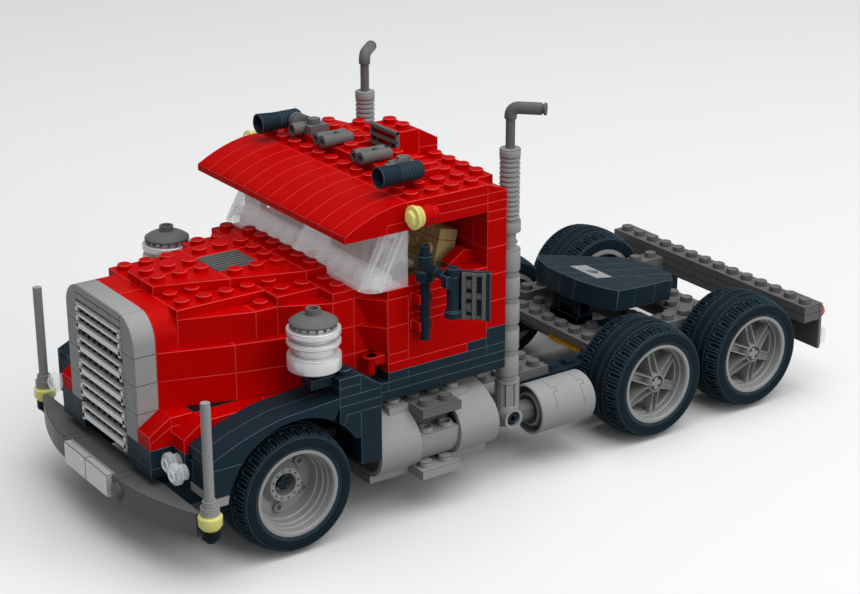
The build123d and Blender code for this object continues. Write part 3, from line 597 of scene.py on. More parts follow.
flanks = Moulding()
for outline in ([(16, 16), (24, 16), (32, 40), (24, 40)], [(24, 40), (32, 40), (32, 48), (24, 48)],
                [(24, 48), (32, 48), (40, 64), (32, 64)], [(32, 64), (40, 64), (40, 72), (32, 72)]):
    flanks.plan(outline, level(13), level(16))
for z0, z1 in ((7, 10), (10, 13)):
    for outline in ([(16, 8), (24, 8), (32, 32), (24, 32)], [(24, 32), (32, 32), (40, 64), (32, 64)],
                    [(32, 64), (40, 64), (40, 72), (32, 72)]):
        flanks.plan(outline, level(z0), level(z1))
put_studs(flanks, (3,), (5,), 16)
for x, d, n in ((24.0, 29.5, 13), (26.6, 37.2, 13), (24.4, 21.5, 10), (27.4, 28.5, 10), (32.0, 45.8, 10),
                (27.6, 28.7, 7), (33.0, 45.4, 7)):
    low, high = [[(x + dx, d + dd, level(n) + up)
                  for dx, dd in ((-1.4, -1.2), (out, -1.2), (out + 0.5, 1.2), (-0.9, 1.2))]
                 for up, out in ((0, 1.0), (1.3, 0.2))]
    flanks.loft(low, high, 0.1)
make_pair("hood_flanks", flanks, "red", ["hood_sides"])

# %% Hood nose, arch tops and head lamps
nose = Moulding()
nose.bricks(4, 5, (2, 5, 8), 6, 7)
nose.side([(8, 44.8), (8, 47.8), (16, 47.8), (16, 44.8)], 24, 32)
nose.side([(0.2, 38.2), (0.2, 40.6), (8, 44.8), (8, 38.2)], 24, 32)
nose.side([(8, 38.2), (8, 44.8), (16, 44.8), (16, 38.2)], 24, 32)
make_pair("arch_fill", nose, "red", ["arch_tops"])

slopes = Moulding()
slopes.side([(0, 40.8), (0, 43.0), (8, 48.2), (8, 45.0)], 24, 32)
slopes.side([(8, 38.2), (8, 43.0), (16, 48.2), (16, 38.2)], 32, 40)
make_pair("arch_slopes", slopes, "red", [])

blocks = Moulding()
for x0, x1, d in ((16, 24, 0), (24, 32, 0), (32, 40, 8)):
    blocks.block(x0, x1, d, d + 8, level(1), level(2))
    blocks.block(x0, x1, d, d + 8, level(2), level(4))
make_pair("lamp_bricks", blocks, "midnight", ["lamp_blocks"])

lights = Moulding()
for x, d in ((36, 3), (44, 1)):
    lights.turned([(1.2, 0), (2.8, 0.2), (3.6, 0.9), (3.6, 2.6), (2.6, 2.8), (2.6, 5)], (x, d, 34.5), "d", 24)
    lights.turned([(1.6, 0), (2.1, 0), (2.1, 0.5), (1.6, 0.5)], (x, d - 0.3, 34.5), "d", 20, 0.08, hollow=True)
make_pair("head_lamps", lights, "clear", ["headlamps"])

# %% [markdown]
# ## Fenders
# Each mudguard is two bowed strips side by side over a round wheel arch, with a drop panel behind. The arch is
# a run of points on one circle about the axle, so the gap to the tyre stays even. The top is a smooth curve
# through six points, which takes less text than a long list and is easy to reshape.

# %% Mudguards
def arch(start, end, steps):
    """Points (d, z) on the wheel arch between two angles about the front axle."""
    return arc((40, AXLE_Z), 26.0, start, end, steps)


def smooth(points, parts=4):
    """More points on a smooth curve through the given ones."""
    ends = [points[0]] + points + [points[-1]]
    made = []
    for p, q, r, t in zip(ends, ends[1:], ends[2:], ends[3:]):
        for i in range(parts):
            u = i / parts
            made.append(tuple(0.5 * (2 * b + (c - a) * u + (2 * a - 5 * b + 4 * c - e) * u * u
                                     + (3 * b - a - 3 * c + e) * u ** 3) for a, b, c, e in zip(p, q, r, t)))
    return made + [points[-1]]


BROW = smooth([(9.6, 41.3), (15.6, 44), (22.8, 46.6), (33.7, 49.4), (42.9, 50.1), (56, 51)])
guard = Moulding()
for x0, x1 in ((40, 48), (48, 56)):
    guard.side([(9.6, 38.3)] + BROW + [(56, 47.8)] + arch(58, 140, 18), x0, x1, 0.12)
guard.side([(9.6, 28.7), (9.6, 38.2)] + arch(140.5, 164, 6), 42, 56)
guard.side([(9.6, 28.7), (9.6, 36.2)] + arch(146, 164, 4), 40, 42)
guard.block(40, 56, 56, 64, 51, 54.2)
guard.block(40, 56, 56, 64, 54.2, 57.4)
guard.side([(64, 51), (64, 57.4), (72, 52), (72, 51)], 40, 56)
guard.side([(56, 51), (72, 51), (72, 47.8), (56, 47.8)], 40, 56)
guard.side([(56, 47.8), (72, 47.8), (72, 44.6), (59, 44.6)] + arch(48, 52, 1), 40, 56)
guard.side([(64, 44.6), (72, 44.6), (72, 25.4), (64, 25.4)], 40, 56)
guard.side([(59, 44.6), (64, 44.6), (64, 35)] + arch(32, 48, 3), 40, 56)
put_studs(guard, (6,), (7,), 10)
guard.block(46, 52, 48, 56, 54.2, 57.4)
foot = Moulding()
foot.side([(9.6, 25.4), (9.6, 28.6), (14.9, 28.6), (14.3, 25.4)], 40, 56)
make_pair("mudguard_feet", foot, "light_grey", [])
make("mudguard_left", guard, "midnight", ["fender_left"])
make("mudguard_right", guard.mirrored(), "midnight", ["fender_right"])

# %% [markdown]
# ## Air cleaners
# A bright drum with two ribs sits on each mudguard, with a dark dished cap and an open stud on top. They are
# pure turned shapes: a lathe profile of a dozen points does what a stack of cylinders and booleans would.

# %% Air cleaners
drum = Moulding()
ribs = [(6.5, 5.2)]
for z0, z1 in ((8.4, 9.9), (11.6, 13.8)):
    ribs += [(6.5, z0), (8.5, z0), (8.8, z0 + 0.2), (8.8, z1 - 0.2), (8.5, z1), (6.5, z1)]
drum.turned([(8.5, 0), (8.8, 0.3), (8.8, 4.9), (8.5, 5.2)] + ribs + [(6.5, 15.3)], (49, 51, 60.8), "z", 40,
            0.08)
make_pair("cleaner_drum_pair", drum, "silver", ["cleaner_drums"])

peg = Moulding()
peg.turned([(2.4, 0), (2.9, 0.4), (2.9, 3.0), (2.5, 3.4)], (49, 53.5, 57.4), "z", 24)
peg.block(47, 51, 55.5, 56, 57.4, 60.2)
make_pair("cleaner_peg_pair", peg, "midnight", [])

cap = Moulding()
cap.turned([(7.7, 0), (7.9, 0.1), (7.9, 0.6), (6.6, 1.5), (5.0, 2.3), (3.2, 2.9)], (49, 51, 76.1), "z", 40,
           0.06)
cap.turned([(1.6, 0), (2.5, 0), (2.5, 2.1), (1.6, 2.1)], (49, 51, 78.8), "z", 24, 0.08, hollow=True)
for x, d in ring_of(16, (49, 51), 7.2):
    cap.turned([(0.55, 0), (0.55, 0.9)], (x, d, 75.2), "z", 6, 0)
make_pair("cleaner_cap_pair", cap, "dark_grey", ["cleaner_caps"])

# %% [markdown]
# ## Cab walls
# The cab is what shows the brickwork best. Each wall is written as courses, a row of bricks between two
# heights, cut where the real joints are. One large box with a drawn-on brick pattern would be quicker, but its
# seams would not catch the light at the corners.

# %% Sill courses
sill = Moulding()
for rows, l0, l1 in (((9, 16), 5, 6), ((9, 10, 16), 6, 7), ((10, 11, 15, 16), 7, 8), ((14, 15), 8, 9),
                     ((15, 16), 8, 10)):
    sill.bricks(5, 6, rows, l0, l1)
sill.copies(sill.mirrored())
sill.block(-40, 40, 72, 120, level(5), level(6))
for c0, c1 in ((-5, -1), (-1, 3), (3, 5)):
    sill.bricks(c0, c1, (15, 16), 5, 7)
    sill.bricks(c0, c1, (15, 16), 7, 10)
make("cab_sill_plates", sill, "midnight", ["cab_sill"])

# %% Door side, back wall, mirror clips and arm rests
walls = Moulding()
for r0, r1, l0, l1 in ((10, 14, 8, 9), (10, 11, 9, 10), (11, 15, 9, 13), (10, 11, 10, 13), (10, 11, 13, 16),
                       (11, 13, 13, 14), (11, 13, 14, 15), (11, 13, 15, 16), (13, 15, 13, 16),
                       (10, 15, 16, 17)):
    walls.bricks(5, 6, (r0, r1), l0, l1)
BACK_COURSES = ((10, 13), (13, 16), (16, 19), (19, 22), (22, 23), (23, 24))
for l0, l1 in BACK_COURSES[:-1]:
    walls.bricks(5, 6, (15, 16), l0, l1)
for z in (66.4, 76.0):
    walls.block(48, 48.7, 88.4, 95.6, z - 1.6, z + 1.6, 0.12)
    for s in (-1, 1):
        walls.plan([(48.5, 92 + s * 0.9), (48.5, 92 + s * 2.6), (50.6, 92 + s * 2.9), (52.6, 92 + s * 2.6),
                    (52.6, 92 + s * 1.9), (51.0, 92 + s * 2.0), (49.9, 92 + s * 1.3)], z - 1.6, z + 1.6, 0.1)
walls.side([(110, 79.8), (110, 80.4), (116.5, 84.4), (120, 83.2), (120, 79.8)], 35, 40)
walls.copies(walls.mirrored())
for i, (l0, l1) in enumerate(BACK_COURSES):
    cuts = (-5, -1, 3, 5) if i % 2 else (-5, -3, 1, 5)
    for c0, c1 in zip(cuts, cuts[1:]):
        walls.bricks(c0, c1, (15, 16), l0, l1)
make("cab_brickwork", walls, "red", ["cab_walls"])

# %% Cowl corners and dashboard
cowl = Moulding()
for l0, l1 in ((6, 7), (7, 10), (10, 13), (13, 16)):
    cowl.bricks(0, 5, (9, 10), l0, l1)
for l0, l1 in ((10, 13), (13, 16)):
    cowl.loft([(x, d, level(l0)) for x, d in ((40.1, 77.4), (47.6, 79.9), (47.6, 80), (40.1, 80))],
              [(x, d, level(l1)) for x, d in ((40.1, 72.6), (48, 79.4), (48, 80), (40.1, 80))], 0.12)
cowl.block(42.5, 46.5, 76, 80, 54.2, 57.2)
cowl.turned([(1.6, 0), (1.6, 6.0)], (44.5, 75.2, 51.2), "z", 16)
cowl.turned([(2.4, 0), (2.4, 0.8)], (44.5, 75.2, 56.4), "z", 20)
make_pair("cowl_bricks", cowl, "red", ["cowl"])

dash = Moulding()
dash.block(-40, 40, 80, 84, level(6), level(17))
for x in (14, 22, 30):
    dash.turned([(2.3, 0), (2.3, 1.0)], (x, 83.8, 74.0), "d", 20)
make("dash_panel", dash, "red", ["dashboard"])

# %% [markdown]
# ## Seats and steering wheel
# The seat backs are stacks of tan bricks turned on their side, so their studs face forward, and they lean. The
# leaning frame is two unit vectors, one up the back and one out of it. The wheel is a ring with a flat bar.

# %% Seats
LEAN = math.radians(14)
up_back = Vector((0, math.sin(LEAN), math.cos(LEAN)))
out_back = Vector((0, -math.cos(LEAN), math.sin(LEAN)))
to_back = Matrix((Vector((1, 0, 0)), up_back, out_back)).transposed()
seat = Moulding()
for c in (1, 2, 3):
    for k, (s0, s1) in enumerate(((0, 6), (6, 14), (14, 22), (22, 30), (30, 34))):
        corner = Vector((c * PITCH, 104, level(10))) + up_back * s0
        seat.prism([corner, corner + Vector((8, 0, 0)), corner + Vector((8, 0, 0)) - out_back * 7.6,
                    corner - out_back * 7.6], up_back * (s1 - s0), 0.14)
        if 0 < k < 4:
            middle = corner + Vector((4, 0, 0)) + up_back * 4
            seat.turned([(2.4, -0.1), (2.4, 1.8)], middle, edge=0.2, turn=to_back)
for c in (1, 2, 3):
    seat.block(c * 8, c * 8 + 8, 100, 108, level(6), level(11))
    seat.block(c * 8, c * 8 + 8, 108, 118, level(6), level(9))
make_pair("seat_bricks", seat, "tan", ["seats"])

# %% Steering wheel
wheel = Moulding()
tip = Matrix.Rotation(math.radians(50), 3, "X")
hub = Vector((24, 95, 85))
wheel.turned(ring_of(10, (9.0, 0), 1.3), hub, sides=40, edge=0, hollow=True, turn=tip)
wheel.turned([(2.4, -0.8), (2.4, 0.8)], hub, edge=0.15, turn=tip)
wheel.turned([(1.6, -13.0), (1.6, 0)], hub, sides=16, edge=0.1, turn=tip)
bar_foot = [tip @ Vector((x, y, -0.7)) + hub for x, y in ((-8.6, -1.1), (8.6, -1.1), (8.6, 1.1), (-8.6, 1.1))]
wheel.prism(bar_foot, tip @ Vector((0, 0, 1.4)), 0.12)
wheel.block(22, 26, 84, 87, 74.5, 79.0)
make("wheel_and_column", wheel, "light_grey", ["steering_wheel"])

# %% [markdown]
# ## Windscreen
# The screen is two clear blocks with a slanted front and rounded outer corners, hollow behind. Each is drawn
# as its separate walls, which keeps the walls' thickness true, so the see-through layers double up at their
# edges. A Solidify modifier on a bent sheet would round off the base flange.

# %% Windscreen halves
screen = Moulding()
SCREEN_BASE, SCREEN_TOP = level(17), level(23)


def screen_line(setback):
    """The slanted front, moved back by a thickness: (d, z) at its foot and head."""
    return (72 + setback, SCREEN_BASE), (86.3 + setback * 0.5, SCREEN_TOP)


foot_front, head_front = screen_line(0.0)
foot_back, head_back = screen_line(1.5)
screen.side([foot_front, foot_back, head_back, head_front], 0.1, 43, 0.1)
for i in range(4):
    a0, a1 = math.radians(22.5 * i), math.radians(22.5 * (i + 1))
    rim = []
    for a, radius in ((a0, 5.5), (a1, 5.5), (a1, 4.0), (a0, 4.0)):
        rim.append((42.5 + radius * math.sin(a), 77.5 - radius * math.cos(a), SCREEN_BASE))
    screen.prism(rim, (-0.9, 10.2, SCREEN_TOP - SCREEN_BASE), 0.0)
screen.side([(77.5, SCREEN_BASE), (88, SCREEN_BASE), (88, SCREEN_TOP), (87.2, SCREEN_TOP)], 46.5, 48, 0.1)
screen.side([(72, SCREEN_BASE), (88, SCREEN_BASE), (88, SCREEN_TOP), (86.6, SCREEN_TOP)], 0.1, 1.5, 0.1)
screen.plan([(0.1, 74), (42, 74), (46.3, 78), (46.3, 86), (0.1, 86)], SCREEN_BASE, SCREEN_BASE + 0.9, 0.1)
screen.block(1.6, 46.4, 81.5, 82.8, SCREEN_BASE + 0.9, SCREEN_BASE + 4.4, 0.1)
screen.block(6.5, 9.5, 85.6, 87.9, SCREEN_TOP - 4, SCREEN_TOP, 0.1)
screen.block(38.5, 41.5, 85.6, 87.9, SCREEN_TOP - 4, SCREEN_TOP, 0.1)
for x in (12, 20, 28, 36, 44):
    screen.turned([(1.2, 0), (2.4, 0), (2.4, 3.2), (1.2, 3.2)], (x - 0.6, 78, SCREEN_BASE + 0.9), sides=16,
                  edge=0.1, hollow=True)
make_pair("windscreen_halves", screen, "clear", ["windscreen"])

# %% [markdown]
# ## Roof and visor
# The visor is twelve curved slopes side by side, and their joints are the fine lines over its bow. Each slope
# is its own closed shape from one side outline. The roof behind it is a plate studded in a pattern that leaves
# room for the raised plate, the vent and the lamps.

# %% Visor and roof
visor = Moulding()
bow_points = []
for i in range(13):
    t = i / 12
    bow_points.append((64 + 24 * t, 101.3 + 7.3 * (1 - (1 - t) ** 1.9)))
outline = [(64, 99)] + bow_points + [(88, 102.2), (80, 102.2), (80, 99)]
for c in range(6):
    visor.side(outline, c * 8, c * 8 + 8, 0.1)
make_pair("visor_slopes", visor, "red", ["visor"])

roof = Moulding()
for c0, c1, rows in ((0, 2, (11, 16)), (2, 5, (11, 15, 16)), (5, 6, (11, 15))):
    roof.bricks(c0, c1, rows, 25, 26)
roof.bricks(0, 5, (11, 16), 24, 25)
roof.bricks(5, 6, (11, 15, 16), 24, 25)
roof.bricks(5, 6, (10, 15, 16), 23, 24)
roof.side([(120, level(25)), (128, level(25)), (128, 105.6), (120, level(26))], 40, 48)
for columns, rows in ((range(0, 6), (11,)), (range(1, 6), (14,)), ((4, 5), (12, 13)), (range(1, 5), (15,))):
    put_studs(roof, columns, rows, 26)
roof.bricks(0, 4, (12, 13), 26, 27)
roof.bricks(1, 4, (13, 14), 26, 27)
put_studs(roof, (0,), (12,), 27)
put_studs(roof, (1, 2, 3), (13,), 27)
roof.turned([(2.9, 0), (3.2, 0.1), (3.2, 4.2), (2.6, 4.3), (2.6, 6.0)], (52, 90, 104.6), "d", 28)
roof.turned([(2.0, 0), (2.0, 3.0)], (47, 92.5, 104.6), "x", 16)
make_pair("roof_deck", roof, "red", ["roof_plates"])

box = Moulding()
for c in (-1, 0):
    box.bricks(c, c + 1, (14, 15), 26, 29)
    box.side([(120, 108.6), (120, 111.6), (128, 111.2), (128, 108.6)], c * 8, c * 8 + 8)
    box.side([(120, 111.6), (120, 118.2), (128, 113.8), (128, 111.2)], c * 8, c * 8 + 8)
put_studs(box, (-1, 0), (14,), 29)
make("vent_bricks", box, "red", ["vent_box"])

grate = Moulding()
for z in (109.2, 111.6, 114.6, 117.6):
    grate.block(-8, 8, 110.4, 111.3, z - 0.6, z + 0.6, 0.1)
for x0 in (-8, 7.2):
    grate.block(x0, x0 + 0.8, 110.6, 112, 108.6, 118.2, 0.1)
grate.block(-8, 8, 110.6, 112, 117.4, 118.2, 0.1)
for x in (-4, 4):
    grate.turned([(0.8, 0), (0.8, 1.2)], (x, 110.9, 113), "d", 10, 0.1)
make("vent_slats", grate, "dark_grey", ["vent_grille"], slot="light_grey")

# %% [markdown]
# ## Horns, taps and twin barrels
# Small round fittings crowd the roof. All are turned, and the ribs on the horns are steps in one profile.
# Hollow mouths need a closed profile that goes in and comes back, or they would render as black discs.

# %% Roof fittings
horn = Moulding()
ribs = []
for i in range(7):
    ribs += [(3.2, 7.3 + 1.35 * i), (3.2, 8.1 + 1.35 * i), (2.8, 8.2 + 1.35 * i), (2.8, 8.55 + 1.35 * i)]
horn.turned([(2.4, 1.6), (3.2, 0), (3.7, 0.3), (3.2, 6.6), (3.2, 7.0)] + ribs
            + [(2.6, 17), (1.9, 16), (2.0, 3.0)], (38, 83, 115), "d", 28, 0.1, hollow=True)
horn.turned([(2.4, 0), (2.4, 10)], (38, 86, 115), "d", 16, 0)
make_pair("roof_horn_pair", horn, "midnight", ["roof_horns"])

taps = Moulding()
taps.block(24, 32, 96, 104, level(27), level(28))
put_studs(taps, (3,), (12,), 28)
taps.turned([(1.5, 0), (2.3, 0), (2.3, 4.6), (1.5, 4.6)], (29.4, 91.6, 113.6), "d", 20, hollow=True)
taps.turned([(1.4, 2.0), (1.4, 3.0)], (29.4, 91.6, 113.6), "d", 12, 0)
taps.turned([(2.2, 0), (3.2, 0.3), (3.2, 2.2), (2.2, 2.5)], (32, 96.5, 115.0), "x", 24)
taps.turned([(1.6, 0), (1.6, 3.0)], (32, 100, 115), "x", 16)
for x in (10, 14):
    taps.turned([(1.1, 0), (2.0, 0.2), (2.0, 12), (1.1, 12)], (x, 92, 113.8), "d", 20, hollow=True)
    taps.turned([(1.15, 2.5), (1.15, 11)], (x, 92, 113.8), "d", 12, 0)
    taps.turned([(2.0, 0), (2.2, 0.1), (2.2, 4.6), (2.0, 4.7)], (x, 92, 113.8), "d", 20, 0.08, hollow=True)
taps.block(9.5, 14.5, 97, 103.5, 111.9, 113.8)
taps.turned([(0.9, 0), (0.9, 0.8)], (12, 99.5, 115.2), "z", 8, 0.1)
make_pair("roof_taps_and_barrels", taps, "dark_grey", ["roof_fittings"], slot="mid_grey")

markers = Moulding()
markers.turned([(2.3, 0.0), (2.7, 0.4), (2.7, 1.6)], (52, 85.5, 104.6), "d", 6, 0.15)
markers.turned([(2.8, 1.2), (4.0, 1.4), (4.0, 2.6), (2.9, 2.8), (2.9, 3.2), (3.5, 3.3), (3.5, 4.3), (3.1, 4.5)],
               (52, 85.5, 104.6), "d", 28, 0.1)
make_pair("marker_lamp_pair", markers, "clear_yellow", ["marker_lamps"])

# %% [markdown]
# ## Mirrors
# Each mirror hangs on a bar clipped to the cab: a collar, a cross arm, a second bar with a flared foot, and a
# plate turned 45 degrees that carries a slatted tile. The turned plate is built in its own turned axes.

# %% Mirror arms and heads
arm = Moulding()
arm.turned([(1.1, 0), (1.65, 0), (1.65, 32.8), (1.1, 32.8)], (52, 92, 61.6), "z", 20, hollow=True)
arm.turned([(3.2, 0), (3.2, 3.4), (2.5, 3.5), (2.5, 8.6)], (52, 92, 82.4), "z", 24)
arm.turned([(1.6, 0), (1.6, 11)], (52, 92, 87), "x", 20)
arm.turned([(1.7, 0), (1.7, 4.4)], (55, 92, 87), "x", 20, 0.2)
arm.block(62.6, 66.0, 90.6, 93.6, 83.6, 87.8)
arm.turned([(2.7, 0), (2.7, 2.2), (2.0, 2.6), (2.0, 14.0), (2.2, 14.2), (2.2, 17.0)], (64.5, 94, 73.0), "z", 24)
make_pair("mirror_arm_pair", arm, "midnight", ["mirror_arms"])

head = Moulding()
louvre = Moulding()
turn_in = Matrix.Rotation(math.radians(45), 3, "Z")
middle = Vector((67.9, 100.2, 80))


def on_mirror(u, v, w):
    """A point on the mirror: across its plate, out of its face, up."""
    return middle + turn_in @ Vector((u, v, w))


def mirror_block(moulding, u0, u1, v0, v1, w0, w1, edge=0.12):
    """A block square to the turned mirror."""
    base = [on_mirror(u, v, w0) for u, v in ((u0, v0), (u1, v0), (u1, v1), (u0, v1))]
    moulding.prism(base, (0, 0, w1 - w0), edge)


mirror_block(head, -5.2, 5.2, 0.1, 1.3, -8.4, 8.4)
mirror_block(head, -7.4, -4.6, 0.1, 1.3, 5.4, 8.4)
mirror_block(head, 4.2, 5.2, -1.3, 0.2, -8.4, 8.4)
for u in (-3.4, 0.0, 3.2):
    mirror_block(louvre, u - 0.75, u + 0.75, -1.3, -0.5, -7.8, 7.8, 0.15)
    for k in range(10):
        mirror_block(louvre, u - 0.85, u + 0.85, -0.7, 0.1, -7.7 + 1.6 * k, -7.0 + 1.6 * k, 0)
for w0, w1 in ((-7.9, -6.7), (6.7, 7.9), (-1.0, 1.0)):
    mirror_block(louvre, -4.1, 4.0, -0.6, 0.2, w0, w1)
for w in (-4, 4):
    louvre.turned([(1.6, 0), (1.6, 0.6)], on_mirror(-1.4, -0.5, w), sides=16, edge=0.1,
                  turn=turn_in @ Matrix.Rotation(math.radians(-90), 3, "X"))
make_pair("mirror_plate_pair", head, "midnight", ["mirror_heads"])
make_pair("mirror_louvre_pair", louvre, "dark_grey", [])

# %% [markdown]
# ## Side tanks
# A tank is a bowed shell over each side of the frame, in two parts with a studded step between them. The bow is
# one side curve of a dozen points. Its open ends are recessed, so they show a thick wall and a pale inside.

# %% Tank shells and steps
BOW = [(48.5, 15.8), (51.4, 17.0), (53.4, 18.6), (54.9, 20.6), (55.7, 22.9), (56.0, 25.4), (55.7, 27.4),
       (54.9, 29.5), (53.5, 31.5), (51.6, 33.1), (49.2, 34.7), (46.6, 36.1), (43.6, 37.3), (40.0, 38.0)]
INNER = [(47.6, 17.2), (50.4, 18.2), (52.2, 19.6), (53.5, 21.4), (54.2, 23.4), (54.4, 25.4), (54.1, 27.0),
         (53.4, 28.6), (52.1, 30.3), (50.5, 31.7), (48.4, 33.2), (46.0, 34.5), (43.2, 35.6), (40.0, 36.3)]
tank = Moulding()
for d0, d1 in ((72, 88), (104, 120)):
    tank.front(BOW + INNER[::-1], d0, d1, 0.0)
    tank.front([(32, 15.8)] + INNER + [(32, 36.3)], d0 + 2.5, d1 - 2.5, 0.1)
    tank.front([(32, 36.3), (40, 36.3), (40, 38.0), (32, 38.0)], d0, d1, 0.1)
    tank.front([(32, 15.8), (48.4, 15.8), (47.6, 17.2), (32, 17.2)], d0, d1, 0.1)
tank.bricks(4, 6, (9, 11, 13, 15), -4, -3)
tank.block(48, 56, 88, 104, 12.6, 15.8)
tank.front([(32, 15.8), (45, 15.8), (48, 16.4), (50.2, 17.6), (52.0, 19.2), (53.4, 21.2), (54.2, 23.2),
            (54.5, 25.4), (54.5, 28.6), (32, 28.6)], 88, 104)
put_studs(tank, (6,), (11, 12), -3)
put_studs(tank, (6,), (11, 12), 1, open_stud)
for row in (10, 13):
    tank.bricks(5, 6, (row, row + 1), 3, 4)
    put_studs(tank, (5,), (row,), 4)
make_pair("tank_shells", tank, "light_grey", ["tank_drums"])

steps = Moulding()
steps.bricks(4, 7, (11, 13), 3, 4)
steps.bricks(4, 6, (11, 13), 1, 3)
put_studs(steps, (6, 5), (11, 12), 4)
make_pair("tank_step_plates", steps, "dark_grey", ["tank_plates"])

# %% [markdown]
# ## Exhaust stacks and mufflers
# Round bricks stack up behind the cab to a ribbed hose and a bent tail tube. The ribs are a zigzag profile. The
# bend is a run of rings that turn a quarter circle, and each pair of rings is closed into a short drum.

# %% Stacks
STACK_D = 132          # the stacks' centre lines stand this far behind the grille


def on_stack(z):
    """A point on the stack's centre line."""
    return Vector((44, STACK_D, z))


socket = Moulding()
flutes = [(44 + r * math.cos(a), STACK_D + r * math.sin(a))
          for i in range(8) for r, a in ((4.4, math.radians(45 * i + 4)), (4.4, math.radians(45 * i + 28)),
                                         (3.7, math.radians(45 * i + 31)), (3.7, math.radians(45 * i + 46)))]
socket.plan(flutes, 18.0, 34.0, 0.08)
socket.turned([(4.4, 0), (4.4, 1.0)], on_stack(34), "z", 24)
socket.bricks(4, 5.5, (16, 17), 0, 1)
socket.turned([(2.6, -1.2), (3.9, -1.2), (3.9, 3.2), (2.6, 3.2)], (47, 130.5, 22), "x", 24, hollow=True)
make_pair("stack_sockets", socket, "light_grey", ["stacks_lower"], slot="dark_grey")

axle_end = Moulding()
for turn in (0, 90):
    spin = Matrix.Rotation(math.radians(turn), 3, "X")
    base = [spin @ Vector((0, y, z)) + Vector((46, 130.5, 22))
            for y, z in ((-2.5, -0.9), (2.5, -0.9), (2.5, 0.9), (-2.5, 0.9))]
    axle_end.prism(base, (3.6, 0, 0), 0.1)
make_pair("socket_axles", axle_end, "midnight", [])

stack = Moulding()
for k in range(5):
    stack.turned([(3.3, 0), (3.5, 0.1), (3.5, 1.6), (4.0, 1.9), (4.0, 9.4), (3.8, 9.6)],
                 on_stack(35.0 + 9.6 * k), "z", 28, 0.08)
stack.turned([(2.4, 0), (2.4, 1.6), (2.9, 1.7), (2.9, 2.6), (2.4, 2.7), (2.4, 5.9)], on_stack(83.0), "z", 24,
             0.08)
stack.turned([(3.4, 0), (4.0, 0.3), (4.0, 4.0), (3.6, 4.3)], on_stack(88.9), "z", 28)
folds = []
for i in range(13):
    folds += [(2.8, 1.7 * i), (3.5, 0.5 + 1.7 * i), (3.5, 1.2 + 1.7 * i)]
stack.turned(folds + [(2.8, 22.1)], on_stack(93.2), "z", 24, 0.0)
stack.turned([(3.4, 0), (3.6, 0.2), (3.6, 2.8), (3.3, 3.0)], on_stack(115.2), "z", 28)
make_pair("stack_pipes", stack, "light_grey", ["stacks_upper"])

tail = Moulding()
tail.turned([(1.6, 0), (1.6, 12.0)], on_stack(118.0), "z", 20)
tail.turned([(1.7, 0), (2.1, 0.2), (2.1, 1.6)], on_stack(128.1), "z", 24, 0.08)
up = Vector((0, 0, 1))
outward = Vector((1, 1, 0)).normalized()
across = Vector((1, -1, 0)).normalized()
lie = up.rotation_difference(outward).to_matrix()
TUBE_R = 2.1
rings = []
for i in range(7):
    a = math.radians(15 * i)
    middle = on_stack(129.4) + (outward * (1 - math.cos(a)) + up * math.sin(a)) * 2.6
    out = outward * math.cos(a) - up * math.sin(a)
    rings.append([middle + out * c + across * t for c, t in ring_of(20, (0, 0), TUBE_R)])
for low, high in zip(rings, rings[1:]):
    tail.loft(low, high, 0)
tail.turned([(TUBE_R, 2.6), (TUBE_R, 10.4), (1.6, 10.5), (1.6, 11.0), (TUBE_R, 11.1), (TUBE_R, 12.0),
             (1.4, 12.0), (1.4, 10.8)], on_stack(132.0), sides=20, edge=0.06, turn=lie)
make_pair("stack_tails", tail, "dark_grey", [])

# %% Mufflers
can = Moulding()
can.turned([(8.3, 6.0), (8.3, 0.2), (8.7, 0.0), (9.1, 0.4), (9.1, 23.6), (8.5, 24.3), (6.0, 24.3), (6.0, 22.5)],
           (44, 141, 20.6), "d", 40, 0.0)
can.turned([(5.2, 0), (6.2, 0), (6.2, 3.0), (5.2, 3.0)], (44, 141.5, 20.6), "d", 28, 0.1, hollow=True)
SEAM = [(95, 0.2), (62, 0.2), (62, 2.2), (50, 2.2), (50, 0.2), (8, 0.2)]    # (angle, distance) on a seam
for start in (6.5, 18.5):
    for (a0, s0), (a1, s1) in zip(SEAM, SEAM[1:]):
        steps = max(1, int(abs(a1 - a0) / 6))
        for i in range(steps):
            lo, hi = sorted((a0 + (a1 - a0) * i / steps, a0 + (a1 - a0) * (i + 1) / steps))
            edge = [math.radians(v) for v in (lo - 0.6, hi + 0.6)]
            strip = [(44 + r * math.cos(a), 20.6 + r * math.sin(a)) for r, a in
                     ((9.0, edge[0]), (9.0, edge[1]), (9.1, edge[1]), (9.1, edge[0]))]
            low, high = sorted((s0, s1))
            can.front(strip, 141 + start + low, 141.25 + start + high, 0.0, tone=1)
can.block(32, 37, 148, 156, 18, 23)
make_pair("muffler_cans", can, "light_grey", ["mufflers"])

link = Moulding()
link.turned([(3.9, 0), (3.9, 6.0)], (44, 135.6, 20.6), "d", 8, 0.15)
make_pair("muffler_links", link, "dark_grey", [])

# %% [markdown]
# ## Wheels
# Rubber tyres with moulded tread carry most of the look from the side. Displacing a texture would need a very
# fine mesh, so the tread is built: a core with grooves all round, and on each shoulder thirty blocks, each a
# hairpin ridge beside a plain bar. A block is a flat outline wrapped on the tyre by angle.

# %% Tyre with tread
AXLES = (("front", 40), ("middle", 192), ("rear", 240))


def crown(x):
    """The tread's radius at x, highest over the middle of the tyre."""
    return 21.6 - 0.0132 * (x - 45) ** 2


def wrap(moulding, outline):
    """A flat outline of (angle in degrees, x), raised on the tyre from the bottom of its grooves."""
    rings = []
    for drop in (0.8, 0):
        rings.append([(x, (crown(x) - drop) * math.cos(math.radians(a)),
                       AXLE_Z + (crown(x) - drop) * math.sin(math.radians(a))) for a, x in outline])
    moulding.loft(*rings)


